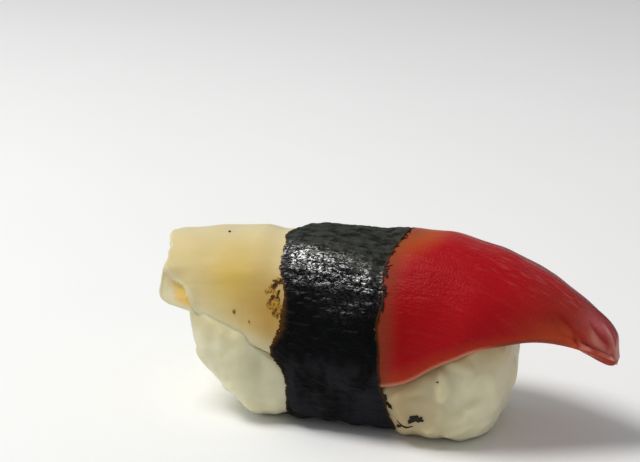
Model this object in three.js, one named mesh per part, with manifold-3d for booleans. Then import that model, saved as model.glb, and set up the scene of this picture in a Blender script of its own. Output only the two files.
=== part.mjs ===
// Surf clam nigiri: a hand-pressed block of rice, one slice of surf clam foot draped over it,
// and a band of nori round both.
//
// Millimetres, +Z up. The slice runs along X, from its cut base at -X to its pointed tip at +X.
// The side that faces -Y is called the near side, and the other the far side. The shapes are
// worked out with the board at z = 0 and the crest line of the slice at y = 0; the group then
// moves them so that the origin is the middle of the footprint.

import * as THREE from 'three';
import { mergeVertices } from 'three/addons/utils/BufferGeometryUtils.js';
import { MeshSurfaceSampler } from 'three/addons/math/MeshSurfaceSampler.js';
import Module from 'manifold-3d';

const wasm = await Module();
wasm.setup();

// ---- Driving dimensions ------------------------------------------------------------------
// A table is a list of [place, value] pairs, joined by a smooth curve.

// Slice of surf clam: places are stations along X.
const BASE_X = -40.9;
const TIP_X = 38;
const CREST_Z = [[-41, 26.2], [-31, 27.2], [-20, 28.4], [-10, 29.6], [0, 29.9], [8, 29.9],
  [16, 28.2], [24, 24.8], [31, 20.6], [36, 16.9], [38, 15]];
const HALF_GIRTH = [[-41, 14.8], [-31, 16.8], [-20, 21], [-10, 25], [0, 26.8], [6, 25.2],
  [12, 21.3], [18, 17.1], [24, 12.7], [30, 7.6], [34, 4.6], [37, 2.3], [38, 1.4]];
const DRAPE_RADIUS = [[-40, 13], [-30, 11.5], [-12, 10.2], [10, 10.2], [22, 10.8], [38, 8]];
const DRAPE_ANGLE = [[-40, 78], [-18, 87], [0, 90], [12, 87], [24, 80], [38, 66]];
const SLICE_THICKNESS = [[-40, 3.4], [-30, 4.4], [-10, 5], [6, 5.4], [24, 6.2], [34, 6],
  [36, 5.2], [37.2, 4], [38, 2.4]];
const EDGE_FULLNESS = 3;
const LEAN_SHARE = [[8, 0], [20, 0.55], [30, 1], [35, 1], [38, 0.05]];

// How far the cut base is set back from BASE_X, by distance from the crest (0) to an edge (1).
const CUT_SETBACK = [[0, 0], [0.2, 1.4], [0.4, 2.6], [0.6, 3.2], [0.75, 3.5], [0.88, 3.5],
  [0.95, 4.1], [1, 5.4]];
const CUT_FAR_SHARE = 0.6;
const CUT_BLEND_X = -22;

// Relief of the slice: the furrow beside the tip, and the hollow and lip at the base corner.
// x and s say where each lies, s being the way across from the near edge, -1, to the far edge, 1.
const FURROW_S = [[27, -0.62], [33, -0.86], [38, -0.84]];
const FURROW = { startX: 27, fullX: 31, reachS: 0.09, depth: 0.8 };
const HOLLOW = { x: -37.6, s: -0.8, reachX: 2.6, reachS: 0.11, depth: 1.1 };
const LIP = { x: -38.6, s: -0.6, reachX: 2.4, reachS: 0.07, height: 0.5 };
const NOTCH = { s: -0.31, reachS: 0.05, depth: 0.7 };
const WAVE_HEIGHT = 0.12;
const WAVES = [[0.55, 3], [0.2, 5]];
const CUT_RAGGEDNESS = 0.25;

// Block of rice: places are stations along X; the grains stand proud of the core.
const RICE_END = [-35, 21.2];
const CORE_INSET = 0.6;
const RICE_HALF_WIDTH = [[-34, 9.5], [-31, 11.5], [-27, 13.4], [-22, 15], [-18, 14.4],
  [-10, 13.8], [-3, 13.4], [1, 13.2], [6, 14.2], [11, 14], [15, 13], [18, 11.6], [21, 9.4]];
const RICE_TOP = [[-34, 25], [-30, 27], [-20, 27.5], [0, 29], [14, 27.5], [21, 22.5]];
const RICE_BOTTOM = [[-35, 15.4], [-33, 11.2], [-30.6, 7.6], [-28, 5], [-25, 2.9], [-21.8, 0.8],
  [-19.5, 0], [16.5, 0], [18.5, 1], [20, 3.6], [21.2, 8]];
const RICE_SQUARENESS = [[-33, 2.5], [-25, 2.9], [-19, 3.6], [-3, 3.6], [2, 3.3], [8, 3.2],
  [14, 2.9], [21, 3]];
const RICE_END_SQUARENESS = 14;
const RICE_SIDE_SPREAD = 0.06;
const LUMP_HEIGHT = 0.35;
const LUMPS = [[0.9, 2], [0.5, -3]];
const PINCH_ABOVE = 0.4;
const SPREAD_BELOW_EDGE = 0.9;

// Grains of rice.
const GRAIN_HALF = [1.45, 3.1, 1.2];
const GRAIN_SIZE_SPREAD = 0.14;
const GRAIN_SPACING = 3.25;
const GRAIN_TRIES = 2600;
const GRAIN_SINK = [0.1, 0.75];
const GRAIN_LEAST_SHOWING = 0.12;
const GRAIN_LEAST_CLEAR = 0.8;
const LOWEST_GRAIN_Z = 0.9;
const GRAIN_LEAST_UP = -0.8;
const COVERED_ROOM = 1.4;
const GRAIN_SEED = 22;

// Band of nori: places are stations along X or angles round the band, in degrees, from -90
// under the block by 0 at the near side and 90 at the crest to 270 under the block again.
const BAND_X = [-18.6, -1.2];
const BAND_SKEW = 0.19;
const BAND_THICKNESS = 0.7;
const BAND_RIPPLE = 0.16;
const CRINKLES = [[0.8, 7], [1.9, -4]];
const BAND_PINCH = 1;
const PINCH_REACH = 3;
const BAND_CENTRE_Z = 14;
const LEFT_EDGE = [[-90, 1.4], [-66, 2], [-55, 1.5], [-42, 1.5], [-30, 1.9], [-20, 1.5], [-12, 0.4],
  [0, -0.6], [10, 0.4], [24, 0.9], [45, 0.6], [60, -0.1], [90, -0.6], [135, 0.2], [180, -0.4],
  [225, 0.2], [270, 1.4]];
const RIGHT_EDGE = [[-90, 1.2], [-62, 2.2], [-50, 2.1], [-42, 2.6], [-30, 1.7], [-15, 0.8], [0, 0.6],
  [25, 0.6], [38, 0.8], [44, 2], [52, 1], [75, 1.6], [90, 2.2], [120, 1.6], [150, 0.6],
  [180, -0.5], [225, 0.3], [270, 1.2]];
const EDGE_TEAR = 0.3;
const TEAR_SEED = 5;

// Space left between two pieces that touch, and a little more where the core is fitted to the
// slice, and the band to the pressed grains.
const GAP = 0.3;
const CORE_ROOM = 0.4;
const BAND_ROOM = 0.05;
const PRESSED_GRAINS = 1.02;
const BAND_OFF = GAP + BAND_ROOM;
const BAND_OUTER = BAND_OFF + BAND_THICKNESS;

const RICE_FINISH = { color: 0xd9d6c4, roughness: 0.55 };
const CLAM_FINISH = { color: 0xb53a2c, roughness: 0.35 };
const NORI_FINISH = { color: 0x1d2120, roughness: 0.5 };

// How finely each shape is divided.
const SLICE_STATIONS = 36;
const SLICE_SIDES = 18;
const CLOSER_AT_TIP = 0.14;
const CORE_STATIONS = 24;
const CORE_SIDES = 26;
const CORE_END_SHARE = 0.985;
const GRAIN_SIDES = 5;
const GRAIN_ROWS = 4;
const BAND_SIDES = 68;
const BAND_ROWS = 6;
const SECTION_SIDES = 64;
const UNDERSIDE_STEPS = 40;
const DRAPE_STEPS = 12;
const SLOPE_STEP = 0.25;
const FITTING_PASSES = 7;
const MERGE_DISTANCE = 1e-4;

// ---- Curves and small sums -----------------------------------------------------------------

// Value at a place on a smooth curve through [place, value] pairs, with no overshoot.
function through(knots, place) {
  const last = knots.length - 1;
  if (place <= knots[0][0]) return knots[0][1];
  if (place >= knots[last][0]) return knots[last][1];
  const step = (i) => (knots[i + 1][1] - knots[i][1]) / (knots[i + 1][0] - knots[i][0]);
  const slope = (i) => {
    if (i === 0) return step(0);
    if (i === last) return step(last - 1);
    const before = step(i - 1);
    const after = step(i);
    return before * after <= 0 ? 0 : (2 * before * after) / (before + after);
  };
  let i = 0;
  while (place > knots[i + 1][0]) i += 1;
  const width = knots[i + 1][0] - knots[i][0];
  const t = (place - knots[i][0]) / width;
  const back = 1 - t;
  return (1 + 2 * t) * back * back * knots[i][1] + t * back * back * width * slope(i)
    + t * t * (3 - 2 * t) * knots[i + 1][1] - t * t * back * width * slope(i + 1);
}

function ease(from, to, value) {
  return THREE.MathUtils.smoothstep(value, from, to);
}

function swell(value, centre, reach) {
  return Math.exp(-(((value - centre) / reach) ** 2));
}

// Two waves laid across each other, from -1 to 1. Each pair of a pattern says how fast one wave
// runs along x and how fast it runs across or round.
function crossed(pattern, x, around) {
  const [[firstAlong, firstAround], [secondAlong, secondAround]] = pattern;
  return Math.sin(firstAlong * x + firstAround * around)
    * Math.sin(secondAlong * x + secondAround * around + 1);
}

// Repeatable random numbers from 0 to 1.
function seeded(seed) {
  let state = seed;
  return () => {
    state = (state + 0x6d2b79f5) | 0;
    let mixed = Math.imul(state ^ (state >>> 15), 1 | state);
    mixed = (mixed + Math.imul(mixed ^ (mixed >>> 7), 61 | mixed)) ^ mixed;
    return ((mixed ^ (mixed >>> 14)) >>> 0) / 4294967296;
  };
}

// ---- Closed bodies -------------------------------------------------------------------------

// Triangles between successive rings of points, each ring closed on itself.
function skin(ringCount, sides, wrapped) {
  const triangles = [];
  const steps = wrapped ? ringCount : ringCount - 1;
  for (let i = 0; i < steps; i += 1) {
    const here = i * sides;
    const there = ((i + 1) % ringCount) * sides;
    for (let k = 0; k < sides; k += 1) {
      const next = (k + 1) % sides;
      triangles.push(here + k, there + next, here + next, here + k, there + k, there + next);
    }
  }
  return triangles;
}

function bodyGeometry(points, triangles) {
  const geometry = new THREE.BufferGeometry();
  geometry.setFromPoints(points);
  geometry.setIndex(triangles);
  return geometry;
}

function toSolid(geometry) {
  const bare = new THREE.BufferGeometry();
  bare.setAttribute('position', geometry.getAttribute('position').clone());
  bare.setIndex(geometry.getIndex().clone());
  const merged = mergeVertices(bare, MERGE_DISTANCE);
  return new wasm.Manifold(new wasm.Mesh({
    numProp: 3,
    vertProperties: Float32Array.from(merged.getAttribute('position').array),
    triVerts: Uint32Array.from(merged.getIndex().array),
  }));
}

function toGeometry(solid) {
  const mesh = solid.getMesh();
  const geometry = new THREE.BufferGeometry();
  geometry.setAttribute('position', new THREE.Float32BufferAttribute(mesh.vertProperties, 3));
  geometry.setIndex(Array.from(mesh.triVerts));
  return geometry;
}

// The largest of the separate bodies in a solid, without the loose scraps.
function largestBody(solid) {
  const bodies = solid.decompose();
  return bodies.reduce((best, body) => (body.volume() > best.volume() ? body : best));
}

// ---- Slice of surf clam --------------------------------------------------------------------

// How far the band presses what it crosses, at a point of the surface.
function pinch(x, y) {
  const along = x + BAND_SKEW * y;
  const [left, right] = BAND_X;
  return BAND_PINCH * (ease(left - PINCH_REACH, left, along) - ease(right, right + PINCH_REACH, along));
}

// Middle layer of the slice in the section at x: s goes from -1, the near edge, to 1, the far edge.
function middleLayer(x, s) {
  const length = Math.abs(s) * through(HALF_GIRTH, x);
  const fullAngle = THREE.MathUtils.degToRad(through(DRAPE_ANGLE, x));
  const radius = through(DRAPE_RADIUS, x);
  const angleAt = (share) => fullAngle * Math.tanh((share * length) / (radius * fullAngle));
  let y = 0;
  let drop = 0;
  for (let i = 0; i < DRAPE_STEPS; i += 1) {
    const angle = angleAt((i + 0.5) / DRAPE_STEPS);
    y += (Math.cos(angle) * length) / DRAPE_STEPS;
    drop += (Math.sin(angle) * length) / DRAPE_STEPS;
  }
  return { y: Math.sign(s) * y, drop, angle: Math.sign(s) * angleAt(1) };
}

// Height of the slice's outer face over its smooth form.
function sliceRelief(x, s) {
  const furrowS = through(FURROW_S, x);
  const inFurrow = ease(FURROW.startX, FURROW.fullX, x) * swell(s, furrowS, FURROW.reachS);
  const inHollow = swell(x, HOLLOW.x, HOLLOW.reachX) * swell(s, HOLLOW.s, HOLLOW.reachS);
  const onLip = swell(x, LIP.x, LIP.reachX) * swell(s, LIP.s, LIP.reachS);
  return WAVE_HEIGHT * crossed(WAVES, x, s) + LIP.height * onLip
    - FURROW.depth * inFurrow - HOLLOW.depth * inHollow;
}

// How far the cut base is set back at s, ragged as cut flesh is.
function cutSetback(s) {
  const slant = (s < 0 ? 1 : CUT_FAR_SHARE) * through(CUT_SETBACK, Math.abs(s));
  const ragged = CUT_RAGGEDNESS * (Math.sin(9 * s + 1) + 0.6 * Math.sin(23 * s));
  return slant + ragged + NOTCH.depth * swell(s, NOTCH.s, NOTCH.reachS);
}

// A point of the slice: side is 1 on the outer face and -1 on the underside, and grown is how far
// it stands outside the true surface. Sections lean over with the crest as it drops to the tip.
function slicePoint(x, s, side, grown = 0) {
  const { y, drop, angle } = middleLayer(x, s);
  const fullness = (1 - Math.abs(s) ** EDGE_FULLNESS) ** (1 / EDGE_FULLNESS);
  const half = (through(SLICE_THICKNESS, x) / 2) * fullness;
  const relief = side > 0 ? sliceRelief(x, s) * Math.sqrt(fullness) : 0;
  const out = side * (half + grown) + relief - pinch(x, y);
  const rise = through(CREST_Z, x + SLOPE_STEP) - through(CREST_Z, x - SLOPE_STEP);
  const lean = Math.atan(rise / (2 * SLOPE_STEP)) * through(LEAN_SHARE, x);
  const up = out * Math.cos(angle) - drop;
  const edge = Math.abs(s) === 1 ? grown * Math.sign(s) : 0;
  const inCut = THREE.MathUtils.clamp((CUT_BLEND_X - x) / (CUT_BLEND_X - BASE_X), 0, 1);
  return new THREE.Vector3(
    x + cutSetback(s) * inCut - Math.sin(lean) * up,
    y + out * Math.sin(angle) + edge * Math.cos(angle),
    through(CREST_Z, x) + Math.cos(lean) * up - Math.abs(edge) * Math.sin(Math.abs(angle)),
  );
}

// Ring of points round the slice at x: over the outer face, then back along the underside.
function sliceRing(x, sides, grown) {
  const across = (k) => (k === sides ? 1 : -Math.cos((Math.PI * k) / sides));
  const ring = [];
  for (let k = 0; k <= sides; k += 1) ring.push(slicePoint(x, across(k), 1, grown));
  for (let k = sides - 1; k > 0; k -= 1) ring.push(slicePoint(x, across(k), -1, grown));
  return ring;
}

// Stations along the slice, a little closer together towards the tip.
function sliceStations(grown) {
  const stations = [];
  for (let i = 0; i <= SLICE_STATIONS; i += 1) {
    const even = i / SLICE_STATIONS;
    const share = THREE.MathUtils.lerp(even, Math.sin((even * Math.PI) / 2), CLOSER_AT_TIP);
    stations.push(THREE.MathUtils.lerp(BASE_X - grown, TIP_X + grown, share));
  }
  return stations;
}

// The whole slice as a closed skin; grown is how far it stands outside its true surface.
function sliceGeometry(grown = 0) {
  const rings = sliceStations(grown).map((x) => sliceRing(x, SLICE_SIDES, grown));
  const sides = rings[0].length;
  const triangles = skin(rings.length, sides, false);
  const endFace = (start, turned) => {
    for (let k = 0; k < SLICE_SIDES; k += 1) {
      const above = [start + k, start + k + 1];
      const below = [start + ((sides - k) % sides), start + sides - k - 1];
      const faces = [[above[0], above[1], below[1]], [above[0], below[1], below[0]]];
      for (const face of faces) {
        if (new Set(face).size === 3) triangles.push(...(turned ? face.reverse() : face));
      }
    }
  };
  endFace(0, false);
  endFace((rings.length - 1) * sides, true);
  return bodyGeometry(rings.flat(), triangles);
}

// ---- Block of rice -------------------------------------------------------------------------

// The slice's underside in the section at x, as points from the near edge to the far edge.
function underside(x) {
  const points = [];
  for (let k = 0; k <= UNDERSIDE_STEPS; k += 1) {
    points.push(slicePoint(x, -1 + (2 * k) / UNDERSIDE_STEPS, -1));
  }
  return points;
}

// Distance along a ray from (0, 0) to the stretch between two points, or null if it misses.
function crossing(direction, y0, z0, y1, z1) {
  const [dy, dz] = direction;
  const bottom = dy * (z1 - z0) - dz * (y1 - y0);
  if (Math.abs(bottom) < 1e-9) return null;
  const along = (y0 * (z1 - z0) - z0 * (y1 - y0)) / bottom;
  const share = (y0 * dz - z0 * dy) / bottom;
  return along > 0 && share >= 0 && share <= 1 ? along : null;
}

// Distance from the middle (0, middleZ) of a section to the slice's underside.
function distanceToSlice(under, middleZ, direction) {
  let nearest = Infinity;
  for (let k = 1; k < under.length; k += 1) {
    const from = under[k - 1];
    const to = under[k];
    const hit = crossing(direction, from.y, from.z - middleZ, to.y, to.z - middleZ);
    if (hit !== null) nearest = Math.min(nearest, hit);
  }
  return nearest;
}

// Below the slice's edge the rice spreads outwards from inside the edge.
function spreadLimit(under, middleZ, direction) {
  const edge = direction[0] < 0 ? under[1] : under.at(-2);
  const outward = Math.abs(direction[0]) + SPREAD_BELOW_EDGE * direction[1];
  if (outward <= 0) return Infinity;
  return (Math.abs(edge.y) - GAP + SPREAD_BELOW_EDGE * (edge.z - middleZ)) / outward;
}

function coreMiddleZ(x) {
  return (through(RICE_TOP, x) - CORE_INSET + through(RICE_BOTTOM, x)) / 2;
}

// Ring of points round the core of the block at x, from its underside over the near side.
function coreRing(x, sides) {
  const u = (2 * (x - RICE_END[0])) / (RICE_END[1] - RICE_END[0]) - 1;
  const bottom = through(RICE_BOTTOM, x);
  const middleZ = coreMiddleZ(x);
  const under = underside(x);
  const squareness = through(RICE_SQUARENESS, x);
  const ends = (1 - Math.abs(u) ** RICE_END_SQUARENESS) ** (1 / 3);
  const ring = [];
  for (let k = 0; k < sides; k += 1) {
    const turn = (2 * Math.PI * k) / sides - Math.PI / 2;
    const direction = [-Math.cos(turn), Math.sin(turn)];
    const spread = 1 + RICE_SIDE_SPREAD * Math.max(0, -direction[1]);
    const halfWidth = (through(RICE_HALF_WIDTH, x) - CORE_INSET) * spread;
    const wide = Math.abs(direction[0] / halfWidth) ** squareness;
    const high = Math.abs(direction[1] / (middleZ - bottom + CORE_INSET)) ** squareness;
    const lumps = LUMP_HEIGHT * crossed(LUMPS, x, turn);
    let radius = ((wide + high) ** (-1 / squareness) + lumps) * ends;
    radius -= pinch(x, radius * direction[0]) * (direction[1] < 0 ? 1 : PINCH_ABOVE);
    radius = Math.min(radius, distanceToSlice(under, middleZ, direction) - GAP - CORE_ROOM);
    radius = Math.min(radius, spreadLimit(under, middleZ, direction));
    if (direction[1] < 0) radius = Math.min(radius, (middleZ - bottom) / -direction[1]);
    ring.push(new THREE.Vector3(x, radius * direction[0], middleZ + radius * direction[1]));
  }
  return ring;
}

function coreGeometry() {
  const points = [];
  for (let i = 0; i <= CORE_STATIONS; i += 1) {
    const u = Math.sin((Math.PI / 2) * ((2 * i) / CORE_STATIONS - 1) * CORE_END_SHARE);
    points.push(...coreRing(THREE.MathUtils.lerp(RICE_END[0], RICE_END[1], (u + 1) / 2), CORE_SIDES));
  }
  const triangles = skin(CORE_STATIONS + 1, CORE_SIDES, false);
  const closeEnd = (start, turned) => {
    const middle = new THREE.Vector3();
    for (let k = 0; k < CORE_SIDES; k += 1) middle.add(points[start + k]);
    points.push(middle.divideScalar(CORE_SIDES));
    for (let k = 0; k < CORE_SIDES; k += 1) {
      const face = [start + k, start + ((k + 1) % CORE_SIDES), points.length - 1];
      triangles.push(...(turned ? face.reverse() : face));
    }
  };
  closeEnd(0, false);
  closeEnd(CORE_STATIONS * CORE_SIDES, true);
  return bodyGeometry(points, triangles);
}

// One grain, lying on the core at a point, with its long side turned round the surface normal.
function grainSolid(point, normal, random) {
  const size = 1 + GRAIN_SIZE_SPREAD * (2 * random() - 1);
  const sink = THREE.MathUtils.lerp(GRAIN_SINK[0], GRAIN_SINK[1], random());
  const geometry = new THREE.SphereGeometry(1, GRAIN_SIDES, GRAIN_ROWS);
  geometry.scale(GRAIN_HALF[0], GRAIN_HALF[1] * size, GRAIN_HALF[2]);
  geometry.rotateZ(Math.PI * random());
  const lie = new THREE.Quaternion().setFromUnitVectors(new THREE.Vector3(0, 0, 1), normal);
  geometry.applyQuaternion(lie);
  geometry.translate(...point.clone().addScaledVector(normal, -sink).toArray());
  return toSolid(geometry);
}

// Whether a point of the core is hidden, by the slice close above it or by the band.
function isCovered(point) {
  const middleZ = coreMiddleZ(point.x);
  const out = new THREE.Vector2(point.y, point.z - middleZ);
  const direction = out.clone().normalize().toArray();
  const room = distanceToSlice(underside(point.x), middleZ, direction) - out.length();
  const along = point.x + BAND_SKEW * point.y;
  return room < COVERED_ROOM || (along > BAND_X[0] + COVERED_ROOM && along < BAND_X[1]);
}

// Where grains lie: spread over what shows of the core by a seeded draw, none too close.
function grainPlaces(core, random) {
  const sampler = new MeshSurfaceSampler(new THREE.Mesh(core.toNonIndexed()));
  sampler.setRandomGenerator(random).build();
  const places = [];
  for (let i = 0; i < GRAIN_TRIES; i += 1) {
    const point = new THREE.Vector3();
    const normal = new THREE.Vector3();
    sampler.sample(point, normal);
    const onBoard = point.z < LOWEST_GRAIN_Z || normal.z < GRAIN_LEAST_UP;
    const clear = places.every((place) => place.point.distanceTo(point) > GRAIN_SPACING);
    if (clear && !onBoard && !isCovered(point)) places.push({ point, normal });
  }
  return places;
}

// The heap: the core with every grain that shows, cut clear of the slice, the band and the board.
function riceSolid(sliceRoom, bandRoom) {
  const random = seeded(GRAIN_SEED);
  const coreShape = coreGeometry();
  const core = toSolid(coreShape);
  const grains = [];
  for (const { point, normal } of grainPlaces(coreShape, random)) {
    const grain = grainSolid(point, normal, random);
    const whole = grain.volume();
    const shows = grain.subtract(core).volume() > GRAIN_LEAST_SHOWING * whole;
    const clear = grain.subtract(sliceRoom).subtract(bandRoom).volume() > GRAIN_LEAST_CLEAR * whole;
    if (shows && clear) grains.push(grain);
  }
  const board = new THREE.BoxGeometry(120, 80, 20).translate(0, 0, -10);
  const heap = grains.reduce((sum, grain) => sum.add(grain), core);
  return largestBody(heap.subtract(sliceRoom).subtract(bandRoom).subtract(toSolid(board)));
}

// ---- Band of nori --------------------------------------------------------------------------

// Convex outline, in order, round the points of one section.
function outline(points) {
  const sorted = [...points].sort((a, b) => a[0] - b[0] || a[1] - b[1]);
  const turn = (a, b, c) => (b[0] - a[0]) * (c[1] - b[1]) - (b[1] - a[1]) * (c[0] - b[0]);
  const half = (ordered) => {
    const kept = [];
    for (const point of ordered) {
      while (kept.length > 1 && turn(kept.at(-2), kept.at(-1), point) <= 0) kept.pop();
      kept.push(point);
    }
    return kept.slice(0, -1);
  };
  return [...half(sorted), ...half(sorted.reverse())];
}

// What the band is pulled round at a station: slice and rice core, raised by the band below them.
const wrapped = new Map();
function wrappedOutline(x) {
  if (!wrapped.has(x)) {
    const slice = sliceRing(x, SECTION_SIDES / 2, 0).map((p) => [p.y, p.z]);
    const rice = coreRing(x, SECTION_SIDES)
      .map((p) => [PRESSED_GRAINS * p.y, Math.max(p.z, BAND_OUTER)]);
    wrapped.set(x, outline([...slice, ...rice]));
  }
  return wrapped.get(x);
}

function distanceToOutline(shape, y, z) {
  let nearest = Infinity;
  for (let i = 0; i < shape.length; i += 1) {
    const [y0, z0] = shape[i];
    const [y1, z1] = shape[(i + 1) % shape.length];
    const along = ((y - y0) * (y1 - y0) + (z - z0) * (z1 - z0)) / ((y1 - y0) ** 2 + (z1 - z0) ** 2);
    const t = THREE.MathUtils.clamp(along, 0, 1);
    nearest = Math.min(nearest, Math.hypot(y - y0 - t * (y1 - y0), z - z0 - t * (z1 - z0)));
  }
  return nearest;
}

// How far out a ray from the band's centre meets the line that stays `clear` off an outline.
function reachOff(shape, direction, clear) {
  let reach = 0;
  for (let i = 0; i < shape.length; i += 1) {
    const [y0, z0] = shape[i];
    const [y1, z1] = shape[(i + 1) % shape.length];
    const hit = crossing(direction, y0, z0 - BAND_CENTRE_Z, y1, z1 - BAND_CENTRE_Z);
    if (hit !== null) reach = Math.max(reach, hit);
  }
  reach += clear;
  for (let i = 0; i < FITTING_PASSES; i += 1) {
    const y = reach * direction[0];
    const z = BAND_CENTRE_Z + reach * direction[1];
    reach += clear - distanceToOutline(shape, y, z);
  }
  return reach;
}

// The same at any station, between the outlines a millimetre apart.
function reachAt(x, direction, clear) {
  const before = Math.floor(x);
  const share = x - before;
  return (1 - share) * reachOff(wrappedOutline(before), direction, clear)
    + share * reachOff(wrappedOutline(before + 1), direction, clear);
}

// Closed ring of nori between two distances off what it wraps, widened at both edges.
function bandGeometry(inner, outer, widened, ripple) {
  const random = seeded(TEAR_SEED);
  const torn = () => EDGE_TEAR * (2 * random() - 1);
  const points = [];
  for (let k = 0; k < BAND_SIDES; k += 1) {
    const degrees = -90 + (360 * k) / BAND_SIDES;
    const turn = THREE.MathUtils.degToRad(degrees);
    const direction = [-Math.cos(turn), Math.sin(turn)];
    const left = BAND_X[0] + through(LEFT_EDGE, degrees) + torn() - widened;
    const right = BAND_X[1] + through(RIGHT_EDGE, degrees) + torn() + widened;
    const outsideRow = [];
    const insideRow = [];
    for (let i = 0; i <= BAND_ROWS; i += 1) {
      const straight = THREE.MathUtils.lerp(left, right, i / BAND_ROWS);
      const y = reachAt(straight, direction, inner) * direction[0];
      const x = straight - BAND_SKEW * y;
      const offBoard = ease(-0.9, -0.5, direction[1]);
      const crinkle = ripple * offBoard * (0.5 + 0.5 * crossed(CRINKLES, x, turn));
      const high = reachAt(x, direction, outer) + crinkle;
      const low = reachAt(x, direction, inner);
      outsideRow.unshift(new THREE.Vector3(x, high * direction[0], BAND_CENTRE_Z + high * direction[1]));
      insideRow.push(new THREE.Vector3(x, low * direction[0], BAND_CENTRE_Z + low * direction[1]));
    }
    points.push(...outsideRow, ...insideRow);
  }
  return bodyGeometry(points, skin(BAND_SIDES, 2 * (BAND_ROWS + 1), true));
}

// ---- The nigiri ----------------------------------------------------------------------------

function namedMesh(name, geometry, finish) {
  geometry.computeVertexNormals();
  const material = new THREE.MeshStandardMaterial({ ...finish, metalness: 0 });
  const mesh = new THREE.Mesh(geometry, material);
  mesh.name = name;
  return mesh;
}

// Rooms are the slice and the band with the gap round them, which the rice keeps out of.
const sliceRoom = toSolid(sliceGeometry(GAP));
const bandRoom = toSolid(bandGeometry(BAND_ROOM, BAND_OUTER + 2, GAP, 0));

const nigiri = new THREE.Group();
nigiri.add(
  namedMesh('rice', toGeometry(riceSolid(sliceRoom, bandRoom)), RICE_FINISH),
  namedMesh('clam', sliceGeometry(), CLAM_FINISH),
  namedMesh('nori', bandGeometry(BAND_OFF, BAND_OUTER, 0, BAND_RIPPLE), NORI_FINISH),
);

// The origin is the middle of the box that holds the nigiri, on the board.
const box = new THREE.Box3().setFromObject(nigiri);
nigiri.position.set(-(box.min.x + box.max.x) / 2, -(box.min.y + box.max.y) / 2, -box.min.z);

export default nigiri;
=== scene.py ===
"""Surf clam nigiri: pressed rice under a draped slice of surf clam foot, held by a band of nori.

The forms are worked out in millimetres, with the board at z = 0 and the crest line of the slice at
y = 0, and are moved into the frame, in metres, when their meshes are made. The slice runs along X,
from its cut base at -X to its pointed tip at +X. The near side faces -Y.
"""

import itertools
import logging
import math
from dataclasses import dataclass, field
from enum import Enum

import bpy
import numpy as np
from mathutils import Matrix, Vector
from mathutils.bvhtree import BVHTree


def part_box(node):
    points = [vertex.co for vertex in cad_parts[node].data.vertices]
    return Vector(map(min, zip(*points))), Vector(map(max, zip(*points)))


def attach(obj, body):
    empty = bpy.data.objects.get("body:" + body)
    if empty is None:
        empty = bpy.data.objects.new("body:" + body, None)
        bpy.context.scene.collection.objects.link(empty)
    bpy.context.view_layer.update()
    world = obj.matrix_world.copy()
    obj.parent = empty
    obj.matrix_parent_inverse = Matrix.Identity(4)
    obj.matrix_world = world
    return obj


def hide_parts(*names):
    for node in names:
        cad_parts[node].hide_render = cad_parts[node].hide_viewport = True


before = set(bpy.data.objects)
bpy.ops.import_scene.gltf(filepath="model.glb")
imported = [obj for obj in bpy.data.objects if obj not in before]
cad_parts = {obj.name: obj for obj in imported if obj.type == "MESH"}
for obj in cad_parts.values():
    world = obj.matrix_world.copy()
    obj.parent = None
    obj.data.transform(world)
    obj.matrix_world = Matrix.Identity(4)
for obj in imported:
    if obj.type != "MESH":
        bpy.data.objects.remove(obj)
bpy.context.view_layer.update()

MM = 0.001
TINY = 1e-9
PICTURE = (640, 462)

Array = np.ndarray
Draw = np.random.Generator
Span = tuple[float, float]
Knots = tuple[Span, ...]
Waves = tuple[Span, Span]
Triple = tuple[float, float, float]
Colour = Triple
Material = bpy.types.Material
Piece = bpy.types.Object
Socket = bpy.types.NodeSocket

CELL_PRIMES = np.array((73856093, 19349663, 83492791), dtype=np.int64)
SEED_PRIME = 2654435761
BIT_MIXING = ((15, 73244475), (13, 60493))
POSITIVE_BITS = 0x7FFFFFFF
LOW_BITS = 0xFFFF

log = logging.getLogger("nigiri")


# ---- Curves, waves and noise


def through(knots: Knots, places: Array) -> Array:
    """Reads a smooth curve through knots, with no overshoot.

    Args:
        knots: Pairs of a place and the value there, in rising order of place.
        places: The places to read it at.

    Returns:
        The values, in the shape of places.
    """
    at, value = np.array(knots, dtype=float).T
    step = np.diff(value) / np.diff(at)
    product = step[:-1] * step[1:]
    same_way = product > 0
    total = np.where(same_way, step[:-1] + step[1:], 1)
    slope = np.concatenate((step[:1], np.where(same_way, 2 * product / total, 0), step[-1:]))
    place = np.clip(places, at[0], at[-1])
    i = np.clip(np.searchsorted(at, place) - 1, 0, len(step) - 1)
    width = at[i + 1] - at[i]
    t = (place - at[i]) / width
    back = 1 - t
    start = (1 + 2 * t) * back * back * value[i] + t * back * back * width * slope[i]
    end = t * t * (3 - 2 * t) * value[i + 1] - t * t * back * width * slope[i + 1]
    return start + end


def ease(start: float | Array, end: float | Array, value: Array) -> Array:
    """Smooth step from 0 at start to 1 at end."""
    t = np.clip((value - start) / (end - start), 0, 1)
    return t * t * (3 - 2 * t)


def swell(value: Array, centre: float | Array, reach: float) -> Array:
    """Bell curve, 1 at the centre and small past the reach."""
    return np.exp(-(((value - centre) / reach) ** 2))


@dataclass(frozen=True)
class Fade:
    """A share that comes in over one span, and goes out over a later one if there is one."""

    strength: float
    comes: Span
    goes: Span | None = None

    def at(self, value: Array) -> Array:
        """Share at places, from 0 to the strength."""
        share = self.strength * ease(*self.comes, value)
        return share if self.goes is None else share * (1 - ease(*self.goes, value))


@dataclass(frozen=True)
class Bell:
    """A share that is strongest at a centre and small past its reach."""

    strength: float
    centre: float
    reach: float

    def at(self, value: Array) -> Array:
        """Share at places, from 0 to the strength."""
        return self.strength * swell(value, self.centre, self.reach)


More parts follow.
